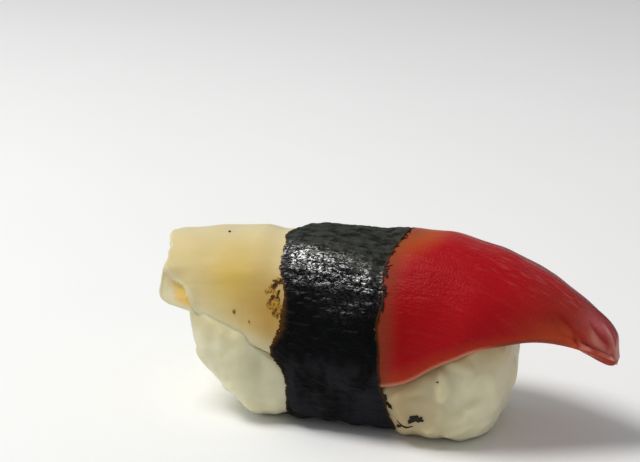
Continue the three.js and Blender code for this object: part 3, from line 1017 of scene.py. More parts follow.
@dataclass
class RiceForm:
    """Form of the pressed block of rice below its grains, section by section along x."""

    slice: SliceForm
    band: BandPlace
    ends: Span = (-35, 21.2)
    inset: float = 0.6
    half_width: Knots = (
        (-34, 10.6), (-31, 13.1), (-27, 14.3), (-22, 15.2), (-18, 14.4), (-10, 13.8), (-3, 13.4),
        (1, 13.2), (6, 14.2), (11, 13.8), (15, 12.4), (18, 10.8), (21, 8.6),
    )
    top: Knots = ((-34, 25), (-30, 27), (-20, 27.5), (0, 29), (14, 27.5), (21, 22.5))
    bottom: Knots = (
        (-35, 15.4), (-33, 11.2), (-30.6, 7.6), (-28, 5), (-25, 2.9), (-21.8, 0.8), (-19.5, 0),
        (16.5, 0), (18.5, 1), (20, 3.6), (21.2, 8),
    )
    squareness: Knots = (
        (-33, 2.5), (-25, 2.9), (-19, 3.6), (-3, 3.6), (2, 3.3), (8, 3.2), (14, 2.9), (21, 3),
    )
    end_squareness: float = 14
    end_bluntness: float = 1 / 3
    side_spread: float = 0.06
    lump_height: float = 0.35
    lumps: Waves = ((0.9, 2), (0.5, -3))
    pinch_above: float = 0.4
    spread_below_edge: float = 0.9
    edge_gap: Knots = ((-22, -0.7), (-17, 0.3))
    far_edge_gap: float = 0.3
    smooth_until: Span = (-26, -19)
    tuck: Knots = ((-34, 0.07), (-22, 0.07), (-18.5, 0))
    underside_steps: int = 40
    room: float = 0.7
    least_radius: float = 0.05
    least_fall: float = 1e-6

    def middle_z(self, x: float) -> float:
        """Height of the middle of a section."""
        return float(through(self.top, x) - self.inset + through(self.bottom, x)) / 2

    def underside(self, x: float, tucked: float = 0) -> Array:
        """The slice's underside as (y, z), less the share at its near edge that the rice holds."""
        s = np.linspace(tucked - 1, 1, self.underside_steps + 1)
        return self.slice.point(np.full_like(s, x), s, Face.UNDER)[:, 1:]

    def ceiling(self, x: float, turns: Array) -> Array:
        """Distance from the middle of a section to the slice's underside.

        Args:
            x: The station.
            turns: Angles round the section, from under it over the near side.

        Returns:
            Distances, infinite where the slice isn't above.
        """
        tucked = float(through(self.tuck, np.array(x)))
        under = self.underside(x, tucked) - (0, self.middle_z(x))
        return nearest_crossing(under[:-1], under[1:], turns)

    def spread_limit(self, x: float, turns: Array) -> Array:
        """How far the rice reaches below the slice's edge, spreading outwards from inside it.

        Args:
            x: The station.
            turns: Angles round the section.

        Returns:
            Distances, infinite where the edge doesn't hold the rice in.
        """
        under = self.underside(x) - (0, self.middle_z(x))
        sideways = -np.cos(turns)
        edge = np.where(sideways[:, None] < 0, under[1], under[-2])
        outward = np.abs(sideways) + self.spread_below_edge * np.sin(turns)
        gap = np.where(sideways < 0, through(self.edge_gap, np.array(x)), self.far_edge_gap)
        reach = np.abs(edge[:, 0]) - gap + self.spread_below_edge * edge[:, 1]
        return np.where(outward > 0, reach / np.where(outward > 0, outward, 1), np.inf)

    def radii(self, x: float, turns: Array, room: float | None = None) -> Array:
        """Distance from the middle of a section to the surface of the block.

        Args:
            x: The station.
            turns: Angles round the section.
            room: Distance kept to the slice, or None for the usual one.

        Returns:
            Distances, one for each angle.
        """
        u = 2 * (x - self.ends[0]) / (self.ends[1] - self.ends[0]) - 1
        bottom = float(through(self.bottom, x))
        middle = self.middle_z(x)
        squareness = float(through(self.squareness, x))
        sideways, upward = -np.cos(turns), np.sin(turns)
        spread = 1 + self.side_spread * np.maximum(0, -upward)
        half_width = (float(through(self.half_width, x)) - self.inset) * spread
        wide = np.abs(sideways / half_width) ** squareness
        high = np.abs(upward / (middle - bottom + self.inset)) ** squareness
        lumps = self.lump_height * ease(*self.smooth_until, x) * crossed(self.lumps, x, turns)
        blunt = max(0.0, 1 - abs(u) ** self.end_squareness) ** self.end_bluntness
        radius = ((wide + high) ** (-1 / squareness) + lumps) * blunt
        share = np.where(upward < 0, 1, self.pinch_above)
        radius = radius - self.band.pressed(x, radius * sideways) * share
        kept = self.room if room is None else room
        radius = np.minimum(radius, self.ceiling(x, turns) - kept)
        radius = np.minimum(radius, self.spread_limit(x, turns))
        fall = np.maximum(self.least_fall, -upward)
        floor = np.where(upward < 0, (middle - bottom) / fall, np.inf)
        return np.maximum(self.least_radius, np.minimum(radius, floor))


def nearest_crossing(start: Array, end: Array, turns: Array) -> Array:
    """Where rays from (0, 0) first meet any of several straight stretches.

    Args:
        start: Where each stretch starts, of shape (n, 2).
        end: Where it ends.
        turns: Angles of the rays, from straight down over the near side.

    Returns:
        Distances, one for each ray, infinite where it meets none.
    """
    direction = np.stack((-np.cos(turns), np.sin(turns)), -1)[:, None, :]
    way = (end - start)[None]
    bottom = direction[..., 0] * way[..., 1] - direction[..., 1] * way[..., 0]
    safe = np.where(np.abs(bottom) < TINY, 1, bottom)
    along = (start[:, 0] * way[..., 1] - start[:, 1] * way[..., 0]) / safe
    share = (start[:, 0] * direction[..., 1] - start[:, 1] * direction[..., 0]) / safe
    hit = (np.abs(bottom) > TINY) & (along > 0) & (share >= 0) & (share <= 1)
    return np.where(hit, along, np.inf).min(1)


@dataclass
class BandForm:
    """Form of the band: the path that a sheet takes when it is pulled round slice and rice."""

    slice: SliceForm
    rice: RiceForm
    band: BandPlace
    thickness: float = 0.7
    lift: float = 1.05
    pressed_grains: float = 1.02
    centre_z: float = 14
    sides: int = 96
    passes: int = 7
    outlines: dict[int, Array] = field(default_factory=dict)

    def outline(self, station: int) -> Array:
        """Outline, in order, of what the band is pulled round at a whole millimetre.

        Args:
            station: The station.

        Returns:
            Corners of a convex outline as (y, z), of shape (n, 2).
        """
        if station not in self.outlines:
            s = -np.cos(np.linspace(0, math.pi, self.sides // 2 + 1))
            x = np.full_like(s, station)
            slice_points = np.concatenate([self.slice.point(x, s, face)[:, 1:] for face in Face])
            turns = all_round(self.sides)
            radius = self.rice.radii(station, turns)
            height = self.rice.middle_z(station) + radius * np.sin(turns)
            rice_points = np.stack(
                (-self.pressed_grains * radius * np.cos(turns), np.maximum(self.lift, height)), -1
            )
            self.outlines[station] = convex(np.concatenate((slice_points, rice_points)))
        return self.outlines[station]

    def reach_off(self, station: int, turns: Array, clear: float) -> Array:
        """How far out the band lies at a whole millimetre.

        Args:
            station: The station.
            turns: Angles round the band's centre.
            clear: Distance kept to what it wraps.

        Returns:
            Distances from the centre, one for each angle.
        """
        shape = self.outline(station) - (0, self.centre_z)
        start, end = shape, np.roll(shape, -1, axis=0)
        reach = nearest_crossing(start, end, turns) + clear
        direction = np.stack((-np.cos(turns), np.sin(turns)), -1)
        way = end - start
        for _ in range(self.passes):
            point = (reach[:, None] * direction)[:, None, :]
            t = ((point - start) * way).sum(-1) / (way**2).sum(-1)
            foot = start + np.clip(t, 0, 1)[..., None] * way
            reach = reach + clear - np.linalg.norm(point - foot, axis=-1).min(1)
        return reach

    def reach_table(self, clear: float, turns: Array, first: int, last: int) -> Array:
        """How far out the band lies at every whole millimetre from first to last."""
        return np.array([self.reach_off(x, turns, clear) for x in range(first, last + 1)])


def convex(points: Array) -> Array:
    """Corners, in order, of the convex outline round points of shape (n, 2)."""
    ordered = sorted(map(tuple, points))
    return np.array(half_outline(ordered) + half_outline(ordered[::-1]))


def half_outline(path: list[Span]) -> list[Span]:
    """One side of a convex outline.

    Args:
        path: All points in order, from one end to the other.

    Returns:
        The corners of that side, without the last one.
    """
    kept: list[Span] = []
    for y, z in path:
        while len(kept) > 1:
            (y0, z0), (y1, z1) = kept[-2:]
            if (y1 - y0) * (z - z1) - (z1 - z0) * (y - y1) > 0:
                break
            kept.pop()
        kept.append((y, z))
    return kept[:-1]


# ---- Slice of surf clam


@dataclass
class SliceRelief:
    """Fine relief of the outer face: soft folds, fibres, and the folds at the slice's two ends."""

    form: SliceForm
    soft_fold_seed: int = 21
    fibre_seed: int = 30
    soft_fold_size: Span = (9, 2.6)
    soft_fold_height: float = 0.10
    fibre_size: Span = (6.5, 0.75)
    fibre_height: float = 0.035
    fibres_from: Span = (0, 10)
    fold_line: Knots = (
        (-1, -33.4), (-0.92, -33.8), (-0.85, -34.3), (-0.77, -35.4), (-0.72, -37.6), (-0.69, -39),
        (-0.63, -41), (-0.5, -43),
    )
    fold_wander: Wander = Wander(0.5, 1.4, 9, 91, 3)
    fold_step: float = 0.6
    fold_step_past: Span = (-0.3, 0.6)
    fold_lip: Bell = Bell(0.25, -0.5, 0.6)
    tip_folds: tuple[Knots, ...] = (
        ((28.1, -0.51), (31, -0.68), (33.3, -1.05)),
        ((30.4, -0.64), (32.5, -0.765), (35.7, -1.05)),
        ((33, -0.72), (33.8, -0.81), (37, -1)),
        ((32, -0.40), (34.4, -0.63), (36, -0.70), (37.6, -0.85)),
        ((33.9, -0.06), (35.4, -0.28), (36.9, -0.5)),
    )
    tip_fold_depth: float = 0.32
    tip_fold_start: Span = (-0.6, 1.2)
    tip_fold_end: Span = (-0.3, 0.3)
    crease: Bell = Bell(1, 0, 0.26)
    swelling: Bell = Bell(1, 0.75, 0.42)
    swelling_share: float = 0.45

    def height(self, x: Array, s: Array) -> Array:
        """Height of the relief.

        Args:
            x: Stations.
            s: Places across.

        Returns:
            Heights in millimetres.
        """
        wrap = s * through(self.form.half_girth, x)
        length, width = self.soft_fold_size
        folds = sheet_noise(x / length, wrap / width, self.soft_fold_seed, 3)
        length, width = self.fibre_size
        fibres = self.fibre_height * ease(*self.fibres_from, x)
        fibres = fibres * sheet_noise(x / length, wrap / width, self.fibre_seed, 2)
        crease, swelling = self.folds_at_tip(x, s)
        at_tip = self.tip_fold_depth * (self.swelling_share * swelling - crease)
        past = self.past_fold(x, s)
        at_base = self.fold_lip.at(past) - self.fold_step * ease(*self.fold_step_past, past)
        return self.soft_fold_height * folds + fibres + at_tip + at_base

    def folds_at_tip(self, x: Array, s: Array) -> tuple[Array, Array]:
        """Folds that fan out over the near side of the tip.

        Args:
            x: Stations.
            s: Places across.

        Returns:
            How deep in a crease between two folds each place is, and how far up on the swelling
            below a crease, both from 0 to 1.
        """
        girth = through(self.form.half_girth, x)
        crease, swelling = np.zeros_like(x), np.zeros_like(x)
        for line in self.tip_folds:
            below = (through(line, x) - s) * girth
            first, last = line[0][0], line[-1][0]
            start = ease(first + self.tip_fold_start[0], first + self.tip_fold_start[1], x)
            end = ease(last + self.tip_fold_end[0], last + self.tip_fold_end[1], x)
            there = start * (1 - end)
            crease = np.maximum(crease, there * self.crease.at(below))
            swelling = np.maximum(swelling, there * self.swelling.at(below))
        return crease, swelling

    def past_fold(self, x: Array, s: Array) -> Array:
        """Distance past the ragged fold at the base corner, towards the cut, below 0 before it."""
        return through(self.fold_line, s) + self.fold_wander.at(x, s) - x


@dataclass
class FleshMap:
    """Where the slice has which colour, as the marks that its finish reads by name.

    What has "along" in its name is in millimetres along the slice, and what has "low" is the share
    of the way down from the crest to the near edge.
    """

    form: SliceForm
    relief: SliceRelief
    orange_start: Knots = ((-1, -9), (-0.4, -8), (0, -4.5), (0.4, -8), (1, -9))
    orange_width: float = 6
    red_full: Knots = (
        (-1, -1), (-0.5, 1), (-0.35, 4), (-0.25, 7), (-0.15, 10), (-0.04, 12.5), (0.1, 13),
        (0.4, 6), (1, -1),
    )
    red_width: float = 10
    red_wander: Wander = Wander(1.3, 6, 4, 5)
    straw: tuple[Patch, Patch] = (Patch(-24.5, -0.54, 9, 0.35), Patch(-38, -0.42, 5, 0.3, 0.25))
    # Painted shade on the near side, beside the band's left edge.
    band_shade: Patch = Patch(-16.5, -0.71, 6.5, 0.28, 0.95)
    pocket_past_fold: Fade = Fade(1, (-0.6, -0.1), (1.6, 4))
    pocket_low: Fade = Fade(1, (0.70, 0.78), (0.90, 0.97))
    pale_low: Fade = Fade(0.6, (0.84, 1.0))
    pale_lip: Bell = Bell(0.8, -0.9, 0.55)
    pale_past_fold: Fade = Fade(0.7, (2.4, 4))
    wine: Patch = Patch(1, -0.68, 10, 0.31, 0.9)
    brown_along: Fade = Fade(1, (20, 33))
    less_brown_low: Fade = Fade(0.5, (0.2, 0.0))
    rust_low: Fade = Fade(0.75, (0.84, 0.99))
    flange_along: Bell = Bell(0.7, 31, 4.5)
    flange_low: Fade = Fade(1, (0.56, 0.78))
    crease_shade_share: float = 0.6
    band_edge: Knots = (
        (-1, 0.5), (-0.5, 0.5), (-0.35, 1.2), (-0.25, 1.2), (-0.12, 2.2), (0, 3.8), (0.3, 2.2),
        (1, 0),
    )
    # Stain from the nori and painted shade, fading out within 4.5 mm past the band's right edge.
    stain_and_shade_past_band: Fade = Fade(0.6, (4.5, 0.2))
    # Painted sheen along the crest, from x = 9 mm towards the tip.
    crest_sheen_along: Fade = Fade(0.55, (9, 20))
    crest_sheen_across: Bell = Bell(1, -0.06, 0.24)
    swelling_tan_along: Fade = Fade(0.6, (32, 34))
    tip_tan_along: Fade = Fade(0.8, (36, 37.6))
    plum_along: Fade = Fade(0.95, (29, 35))
    plum_across: Bell = Bell(1, -0.34, 0.30)
    rim_low: Fade = Fade(0.8, (0.96, 1.0))
    rim_along: Fade = Fade(1, (24, 18))
    skin_low: Fade = Fade(0.55, (0.94, 0.99))
    skin_along: Fade = Fade(1, (20, 24), (30, 33))
    far_line: Knots = ((14, 4.0), (20, 3.7), (26, 3.3), (32, 2.5), (38, 1.2))
    far_wander: Wander = Wander(0.5, 2.5, 1, 77)
    far_strength: float = 0.85
    far_patches: Wander = Wander(0.25, 1.3, 6, 78, 1)
    # Painted highlight along the far upper edge of the foot.
    far_highlight_reach: float = 1.3
    far_highlight_along: Fade = Fade(0.6, (-1, 4), (9, 16))
    far_skin_reach: float = 1.5
    far_skin_along: Fade = Fade(0.85, (10, 19))

    def far_edge(self, x: Array, s: Array) -> tuple[Array, Array]:
        """The thin line on the far side of the foot, where its upper edge shows: a painted
        highlight beside its dark skin.

        Args:
            x: Stations.
            s: Places across.

        Returns:
            How strong the painted highlight and how dark the line is at each place.
        """
        from_crest = s * through(self.form.half_girth, x)
        line = through(self.far_line, x) + self.far_wander.at(x, s)
        patches = self.far_strength + self.far_patches.at(x, s)
        rim = swell(from_crest, line, self.far_highlight_reach) * self.far_highlight_along.at(x)
        skin = swell(from_crest, line, self.far_skin_reach) * self.far_skin_along.at(x)
        return rim * patches, skin * patches

    def past_band(self, x: Array, s: Array) -> Array:
        """Distance past the band's right edge.

        Args:
            x: Stations.
            s: Places across.

        Returns:
            Distances in millimetres, below 0 under the band.
        """
        band = self.form.band
        askew = band.skew * self.form.middle_layer(x, s)[0]
        return x + askew - band.right - through(self.band_edge, s)

    def marks(self, x: Array, s: Array, outer: Array, cut: Array) -> dict[str, Array]:
        """Values that the finish reads.

        Args:
            x: Stations.
            s: Places across.
            outer: 1 on the outer face and 0 on the underside.
            cut: 1 on the cut face.

        Returns:
            Values for each vertex, by name, from 0 to 1. Only run and wrap are lengths, in metres.
        """
        low = -s
        begin = through(self.orange_start, s)
        orange = ease(begin, begin + self.orange_width, x)
        full = through(self.red_full, s) + self.red_wander.at(x, s)
        past = self.relief.past_fold(x, s)
        crease, swelling = self.relief.folds_at_tip(x, s)
        far_highlight, far_skin = self.far_edge(x, s)
        tan = swelling * self.swelling_tan_along.at(x) + self.tip_tan_along.at(x)
        # rim: the paler edge of thin flesh low on the near side, and the painted highlight on the
        # far side.
        rim = self.rim_low.at(low) * orange * self.rim_along.at(x) + far_highlight
        skin = self.skin_low.at(low) * self.skin_along.at(x) + far_skin
        pale = (
            cut,
            self.pale_low.at(low) * (1 - orange),
            self.pale_lip.at(past),
            self.pale_past_fold.at(past),
        )
        return {
            "run": x * MM,
            "wrap": s * through(self.form.half_girth, x) * MM,
            "orange": orange,
            "red": ease(full - self.red_width, full, x),
            "straw": np.clip(sum(patch.at(x, s) for patch in self.straw), 0, 1),
            "band_shade": self.band_shade.at(x, s),
            "pale": np.maximum.reduce(pale),
            "pocket": self.pocket_past_fold.at(past) * self.pocket_low.at(low) * outer,
            "wine": self.wine.at(x, s),
            "brown": self.brown_along.at(x) * (1 - self.less_brown_low.at(low)),
            "rust": self.rust_low.at(low),
            "flange": self.flange_along.at(x) * self.flange_low.at(low),
            # Painted shade in the creases between the tip's folds.
            "crease": self.crease_shade_share * crease * outer,
            "stain_and_shade": self.stain_and_shade_past_band.at(self.past_band(x, s)),
            "crest_sheen": self.crest_sheen_along.at(x) * self.crest_sheen_across.at(s),
            "tan": np.clip(tan, 0, 1) * outer,
            "plum": self.plum_along.at(x) * self.plum_across.at(s),
            "skin": np.clip(skin, 0, 1) * outer,
            "rim": np.clip(rim, 0, 1),
        }


@dataclass
class ClamSlice:
    """The slice: a closed skin over its form, with fine relief and the marks that colour it."""

    form: SliceForm
    shift: Array
    stations: int = 300
    outer_steps: int = 150
    under_steps: int = 60
    base_round: float = 0.7
    tip_round: float = 1.1
    round_steps: int = 7
    cap_steps: int = 5
    closer_at_tip: float = 0.35

    def __post_init__(self) -> None:
        """Sets up the relief and the colours that lie on the form."""
        self.relief = SliceRelief(self.form)
        self.colours = FleshMap(self.form, self.relief)

    def rows(self) -> list[Triple]:
        """Rows of points along the slice, each as its station, its inset and how far in the cut.

        Returns:
            Rows from the cut base to the tip. The last number is 1 on the cut face.
        """
        start = self.form.base_x
        quarter = [math.pi / 2 * j / self.round_steps for j in range(self.round_steps + 1)]
        flat = max(value for _, value in self.form.thickness) / 2
        base = [
            (start, self.base_round + flat * (1 - j / self.cap_steps), 1.0)
            for j in range(self.cap_steps)
        ]
        for angle in quarter:
            inset = self.base_round * (1 - math.sin(angle))
            base.append((start + self.base_round * (1 - math.cos(angle)), inset, math.cos(angle)))
        end = self.form.tip_x
        first, last = start + self.base_round, end - self.tip_round
        even = np.linspace(0, 1, self.stations + 1)[1:-1]
        share = even + self.closer_at_tip * (np.sin(even * math.pi / 2) - even)
        middle = [(float(x), 0.0, 0.0) for x in first + (last - first) * share]
        tip = []
        for angle in quarter:
            inset = self.tip_round * (1 - math.cos(angle))
            tip.append((last + self.tip_round * math.sin(angle), inset, 0.0))
        return base + middle + tip

    def build(self, finish: FleshFinish) -> Piece:
        """Makes the slice.

        Args:
            finish: What it is made of.

        Returns:
            The piece.
        """
        over = -np.cos(np.linspace(0, math.pi, self.outer_steps + 1))
        under = np.cos(np.linspace(0, math.pi, self.under_steps + 1))[1:-1]
        s_row = np.concatenate((over, under))
        outer_row = np.concatenate((np.ones(len(over)), np.zeros(len(under))))
        rows = np.array(self.rows())
        x, s = np.meshgrid(rows[:, 0], s_row, indexing="ij")
        outer, inset, cut = np.broadcast_arrays(outer_row, rows[:, 1:2], rows[:, 2:3])
        extra = self.relief.height(x, s) * (1 - cut)
        over_points = self.form.point(x, s, Face.OUTER, inset, extra)
        under_points = self.form.point(x, s, Face.UNDER, inset)
        points = np.where(outer[..., None] > 0, over_points, under_points)
        last = (len(rows) - 1) * len(s_row)
        end = self.end_faces()
        skin = triangles(ring_faces(len(rows), len(s_row), False))
        faces = np.concatenate((skin, end[:, ::-1], end + last))
        marks = self.colours.marks(x, s, outer, cut)
        place = (points.reshape(-1, 3) + self.shift) * MM
        piece = make_object("clam_slice", place, faces, finish.material(), marks)
        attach(piece, "root")
        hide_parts("clam")
        report(piece)
        return piece

    def end_faces(self) -> Array:
        """Triangles that close a row of points, stitched between its outer and its under half.

        Returns:
            Faces of shape (n, 3), which face the tip.
        """
        sides = self.outer_steps + self.under_steps
        faces = []
        i, j = 0, 0
        while i < self.outer_steps or j < self.under_steps:
            low = (sides - j) % sides
            if (i + 1) * self.under_steps <= (j + 1) * self.outer_steps:
                corners = (i, low, i + 1)
                i += 1
            else:
                corners = (i, low, sides - j - 1)
                j += 1
            if len(set(corners)) == 3:
                faces.append(corners)
        return np.array(faces)


# ---- Rice


@dataclass
class SectionTable:
    """Distances round sections, looked up by station and angle between whole steps."""

    first: float
    step: float
    values: Array
    last_row_gap: float = 0.001

    def at(self, x: Array, turns: Array) -> Array:
        """Reads the table.

        Args:
            x: Stations.
            turns: Angles round the section, from -90 degrees on.

        Returns:
            Distances, in the shape of x.
        """
        rows, sides = self.values.shape
        row = np.clip((x - self.first) / self.step, 0, rows - 1 - self.last_row_gap)
        side = ((turns + math.pi / 2) / (2 * math.pi) % 1) * sides
        i, k = np.floor(row).astype(int), np.floor(side).astype(int)
        u, v = row - i, side - k
        k, after = k % sides, (k + 1) % sides
        low = (1 - v) * self.values[i, k] + v * self.values[i, after]
        high = (1 - v) * self.values[i + 1, k] + v * self.values[i + 1, after]
        return (1 - u) * low + u * high


@dataclass
class RiceBlock:
    """The block: a core of pressed rice, and the grains that show, at true size, over it."""

    form: RiceForm
    band_form: BandForm
    shift: Array
    core_rows: int = 150
    core_sides: int = 180
    table_step: float = 0.5
    end_gap: float = 0.05
    far_off: float = 60
    core_reach: float = 0.99
    core_room: float = 0.25
    core_rise: float = 0.30
    core_lump_size: float = 1.6
    core_lump_height: float = 0.22
    core_seed: int = 71
    grain_half: Triple = (1.4, 3.05, 1.15)
    grain_powers: Span = (0.92, 0.78)
    grain_bend: Span = (0.02, 0.07)
    grain_tilt: float = 0.18
    steep: float = 0.9
    side_guides: tuple[Triple, Triple] = ((0.3, 0.2, 1.0), (1.0, 0.1, 0))
    dent_height: float = 0.07
    dent_pitch: float = 1.3
    dent_step: float = 17
    dent_seed: int = 33
    size_spread: float = 0.14
    spot_spread: float = 0.15
    spacing: float = 2.35
    tries: int = 9000
    sink: Span = (0.9, 1.25)
    left_sink: float = 0.85
    left_sink_x: Span = (-19, -15)
    left_sink_y: Span = (0, 4)
    covered_room: float = 0.9
    grain_sides: int = 14
    grain_rows: int = 11
    voxel: float = 0.30
    soften_passes: int = 14
    first_grain_x: float = -14
    smooth_side: float = 2
    lowest_grain: float = 3.3
    lone_grains: tuple[Triple, ...] = (
        (12.6, -13.6, 12.0), (-24.9, -12.6, 6.0), (-28.6, -10.6, 9.4), (20.9, -0.6, 10.4),
    )
    lone_turns: tuple[float, ...] = (0.3, 2.2, 0.6, 0.2)
    lone_sinks: tuple[float, ...] = (-0.1, 0.55, 0.6, 0.2)
    lone_room: float = 3.4
    lone_seed: int = 3
    slice_clearance: Knots = ((-22, -0.3), (-16, 0.05))
    bare_under_band: Span = (2.4, -0.6)
    band_clearance: float = 0.1
    band_play: float = 0.15
    held_from_left: Span = (-0.6, 0.8)
    held_to_right: Span = (1.2, 2.6)
    belt_x: tuple[int, int] = (-24, 8)
    seed: int = 9

    def __post_init__(self) -> None:
        """Works out the tables of distances that the grains are fitted to."""
        self.turns = all_round(self.core_sides)
        first, last = self.form.ends
        count = int((last - first) / self.table_step)
        start = first + self.end_gap
        stations = start + self.table_step * np.arange(count + 1)
        stations = np.minimum(stations, last - self.end_gap)
        radii, ceilings = [], []
        for x in stations:
            radii.append(self.form.radii(float(x), self.turns, self.core_room))
            ceilings.append(np.minimum(self.form.ceiling(float(x), self.turns), self.far_off))
        self.surface = SectionTable(start, self.table_step, np.array(radii))
        self.ceiling = SectionTable(start, self.table_step, np.array(ceilings))
        self.middles = np.array([self.form.middle_z(float(x)) for x in stations])
        self.stations = stations
        belt = self.band_form.reach_table(self.band_clearance, self.turns, *self.belt_x)
        self.belt = SectionTable(self.belt_x[0], 1.0, belt)

    def middle_at(self, x: Array) -> Array:
        """Height of the middle of the sections at x."""
        return np.interp(x, self.stations, self.middles)

    def core_points(self) -> Array:
        """Points of the core, in rows along the block.

        Returns:
            Points of shape (rows, sides, 3).
        """
        u = np.sin(math.pi / 2 * np.linspace(-1, 1, self.core_rows) * self.core_reach)
        first, last = self.form.ends
        x = first + (last - first) * (u + 1) / 2
        grid_x, turns = np.meshgrid(x, self.turns, indexing="ij")
        radius = self.surface.at(grid_x, turns) + self.core_rise
        middle = self.middle_at(grid_x)
        spot = round_section(grid_x, radius, turns, middle) / self.core_lump_size
        radius = radius + self.core_lump_height * noise(spot, self.core_seed, 2)
        return self.fitted(round_section(grid_x, radius, turns, middle))

    def fitted(self, points: Array) -> Array:
        """Keeps points of the rice under the slice, inside the band and above the board.

        Args:
            points: Points of shape (..., 3).

        Returns:
            The points, those outside pulled in towards the middle of their section.
        """
        x, y, z = np.moveaxis(points, -1, 0)
        middle = self.middle_at(x)
        turns = np.arctan2(z - middle, -y)
        radius = np.hypot(y, z - middle)
        limit = self.ceiling.at(x, turns) - through(self.slice_clearance, x)
        kept = np.minimum(radius, np.maximum(limit, self.end_gap))
        y, z = -kept * np.cos(turns), middle + kept * np.sin(turns)
        centre = self.band_form.centre_z
        belt_turns = np.arctan2(z - centre, -y)
        belt_radius = np.hypot(y, z - centre)
        place = self.form.band
        along = x + place.skew * y
        left, right = self.held_from_left, self.held_to_right
        inside = ease(place.left + left[0], place.left + left[1], along)
        inside = inside * (1 - ease(place.right + right[0], place.right + right[1], along))
        excess = belt_radius - self.belt.at(x, belt_turns) + self.band_play
        belt_kept = belt_radius - np.maximum(0, excess) * inside
        pressed = round_section(x, belt_kept, belt_turns, centre)
        pressed[..., 2] = np.maximum(pressed[..., 2], 0)
        return pressed

    def core_mesh(self) -> tuple[Array, Array]:
        """Makes the core a closed mesh.

        Returns:
            Its points and its faces as triangles.
        """
        rings = self.core_points()
        rows, sides = rings.shape[:2]
        middles = np.stack((rings[0].mean(0), rings[-1].mean(0)))
        points = np.concatenate((rings.reshape(-1, 3), middles))
        k = np.arange(sides)
        after = (k + 1) % sides
        last = (rows - 1) * sides
        first_cap = np.stack((np.full(sides, rows * sides), k, after), -1)
        last_cap = np.stack((np.full(sides, rows * sides + 1), last + after, last + k), -1)
        skin = triangles(ring_faces(rows, sides, False))
        return points, np.concatenate((skin, first_cap, last_cap))

    def grain_places(self, rng: Draw) -> tuple[Array, Array]:
        """Chooses where grains lie.

        Args:
            rng: The seeded draw.

        Returns:
            Points on the core and normals there, each of shape (n, 3).
        """
        rings, normal, area = self.core_normals()
        chances = area.ravel() / area.sum()
        picks = rng.choice(len(chances), self.tries, p=chances)
        points, normals = rings.reshape(-1, 3)[picks], normal.reshape(-1, 3)[picks]
        points = points + rng.uniform(-self.spot_spread, self.spot_spread, points.shape)
        kept = np.empty((0, 3))
        chosen = []
        hidden = self.hidden(points)
        for i in range(len(points)):
            if hidden[i]:
                continue
            if len(kept) and np.min(((kept - points[i]) ** 2).sum(-1)) < self.spacing**2:
                continue
            kept = np.vstack((kept, points[i]))
            chosen.append(i)
        return points[chosen], normals[chosen]

    def core_normals(self) -> tuple[Array, Array, Array]:
        """Works out how the core's surface faces.

        Returns:
            The core's points, the normals there, and how much surface each stands for.
        """
        rings = self.core_points()
        along = np.gradient(rings, axis=0)
        round_it = np.roll(rings, -1, axis=1) - np.roll(rings, 1, axis=1)
        normal = np.cross(round_it, along)
        area = np.linalg.norm(normal, axis=-1)
        normal = normal / np.maximum(area, TINY)[..., None]
        middle = self.middle_at(rings[..., 0])
        outward = rings - np.stack((rings[..., 0], np.zeros(rings.shape[:2]), middle), -1)
        flip = np.sign((normal * outward).sum(-1))
        return rings, normal * np.where(flip == 0, 1, flip)[..., None], area

    def hidden(self, points: Array) -> Array:
        """Whether grains are left out at points of the core.

        Args:
            points: Points of shape (n, 3).

        Returns:
            True deep under the slice or the band, on the smooth lobe to the left, beside the grain
            that lies alone and low down.
        """
        x, y, z = points.T
        middle = self.middle_at(x)
        turns = np.arctan2(z - middle, -y)
        radius = np.hypot(y, z - middle)
        under_slice = self.ceiling.at(x, turns) - radius < self.covered_room
        place = self.form.band
        along = x + place.skew * y
        left, right = self.bare_under_band
        under_band = (along > place.left + left) & (along < place.right + right)
        smooth = (x < self.first_grain_x) & (y < self.smooth_side)
        beside_lone = np.linalg.norm(points - self.lone_grains[0], axis=1) < self.lone_room
        return under_slice | under_band | smooth | beside_lone | (z < self.lowest_grain)

    def unit_grain(self) -> tuple[Array, Array]:
        """A grain of half size 1 each way, with blunt ends.

        Returns:
            Its points and its faces as triangles.
        """
        rows, sides = self.grain_rows, self.grain_sides
        tilt = np.linspace(-1, 1, rows + 2)[1:-1] * math.pi / 2
        turns = 2 * math.pi * np.arange(sides) / sides
        long_power, wide_power = self.grain_powers
        long_way = np.sign(np.sin(tilt)) * np.abs(np.sin(tilt)) ** long_power
        width = np.cos(tilt) ** wide_power
        points = [(0.0, -1.0, 0.0)]
        for y, w in zip(long_way, width):
            points += [(w * math.cos(t), y, w * math.sin(t)) for t in turns]
        points.append((0.0, 1.0, 0.0))
        faces = []
        for i in range(rows - 1):
            for k in range(sides):
                a, b = 1 + i * sides + k, 1 + i * sides + (k + 1) % sides
                faces += [(a, a + sides, b + sides), (a, b + sides, b)]
        last = len(points) - 1
        for k in range(sides):
            after = (k + 1) % sides
            faces.append((0, 1 + k, 1 + after))
            top = 1 + (rows - 1) * sides
            faces.append((last, top + after, top + k))
        return np.array(points), np.array(faces)

    def grain_meshes(self) -> list[Array]:
        """Lays all grains that show: the ones over the core, and the ones that lie alone.

        Returns:
            The points of each grain, as pressed into the block.
        """
        rng = np.random.default_rng(self.seed)
        spots, normals = self.grain_places(rng)
        grains = []
        for number, (spot, normal) in enumerate(zip(spots, normals)):
            turn = rng.uniform(0, math.pi)
            sink = rng.uniform(*self.sink)
            on_left = 1 - ease(*self.left_sink_x, spot[0])
            sink += self.left_sink * on_left * (1 - ease(*self.left_sink_y, spot[1]))
            grains.append(self.grain(spot, normal, turn, sink, number, rng))
        rings, normals, _ = self.core_normals()
        points, normals = rings.reshape(-1, 3), normals.reshape(-1, 3)
        rng = np.random.default_rng(self.lone_seed)
        for place, turn, sink in zip(self.lone_grains, self.lone_turns, self.lone_sinks):
            nearest = np.linalg.norm(points - place, axis=1).argmin()
            grains.append(self.grain(points[nearest], normals[nearest], turn, sink, 0, rng))
        return grains

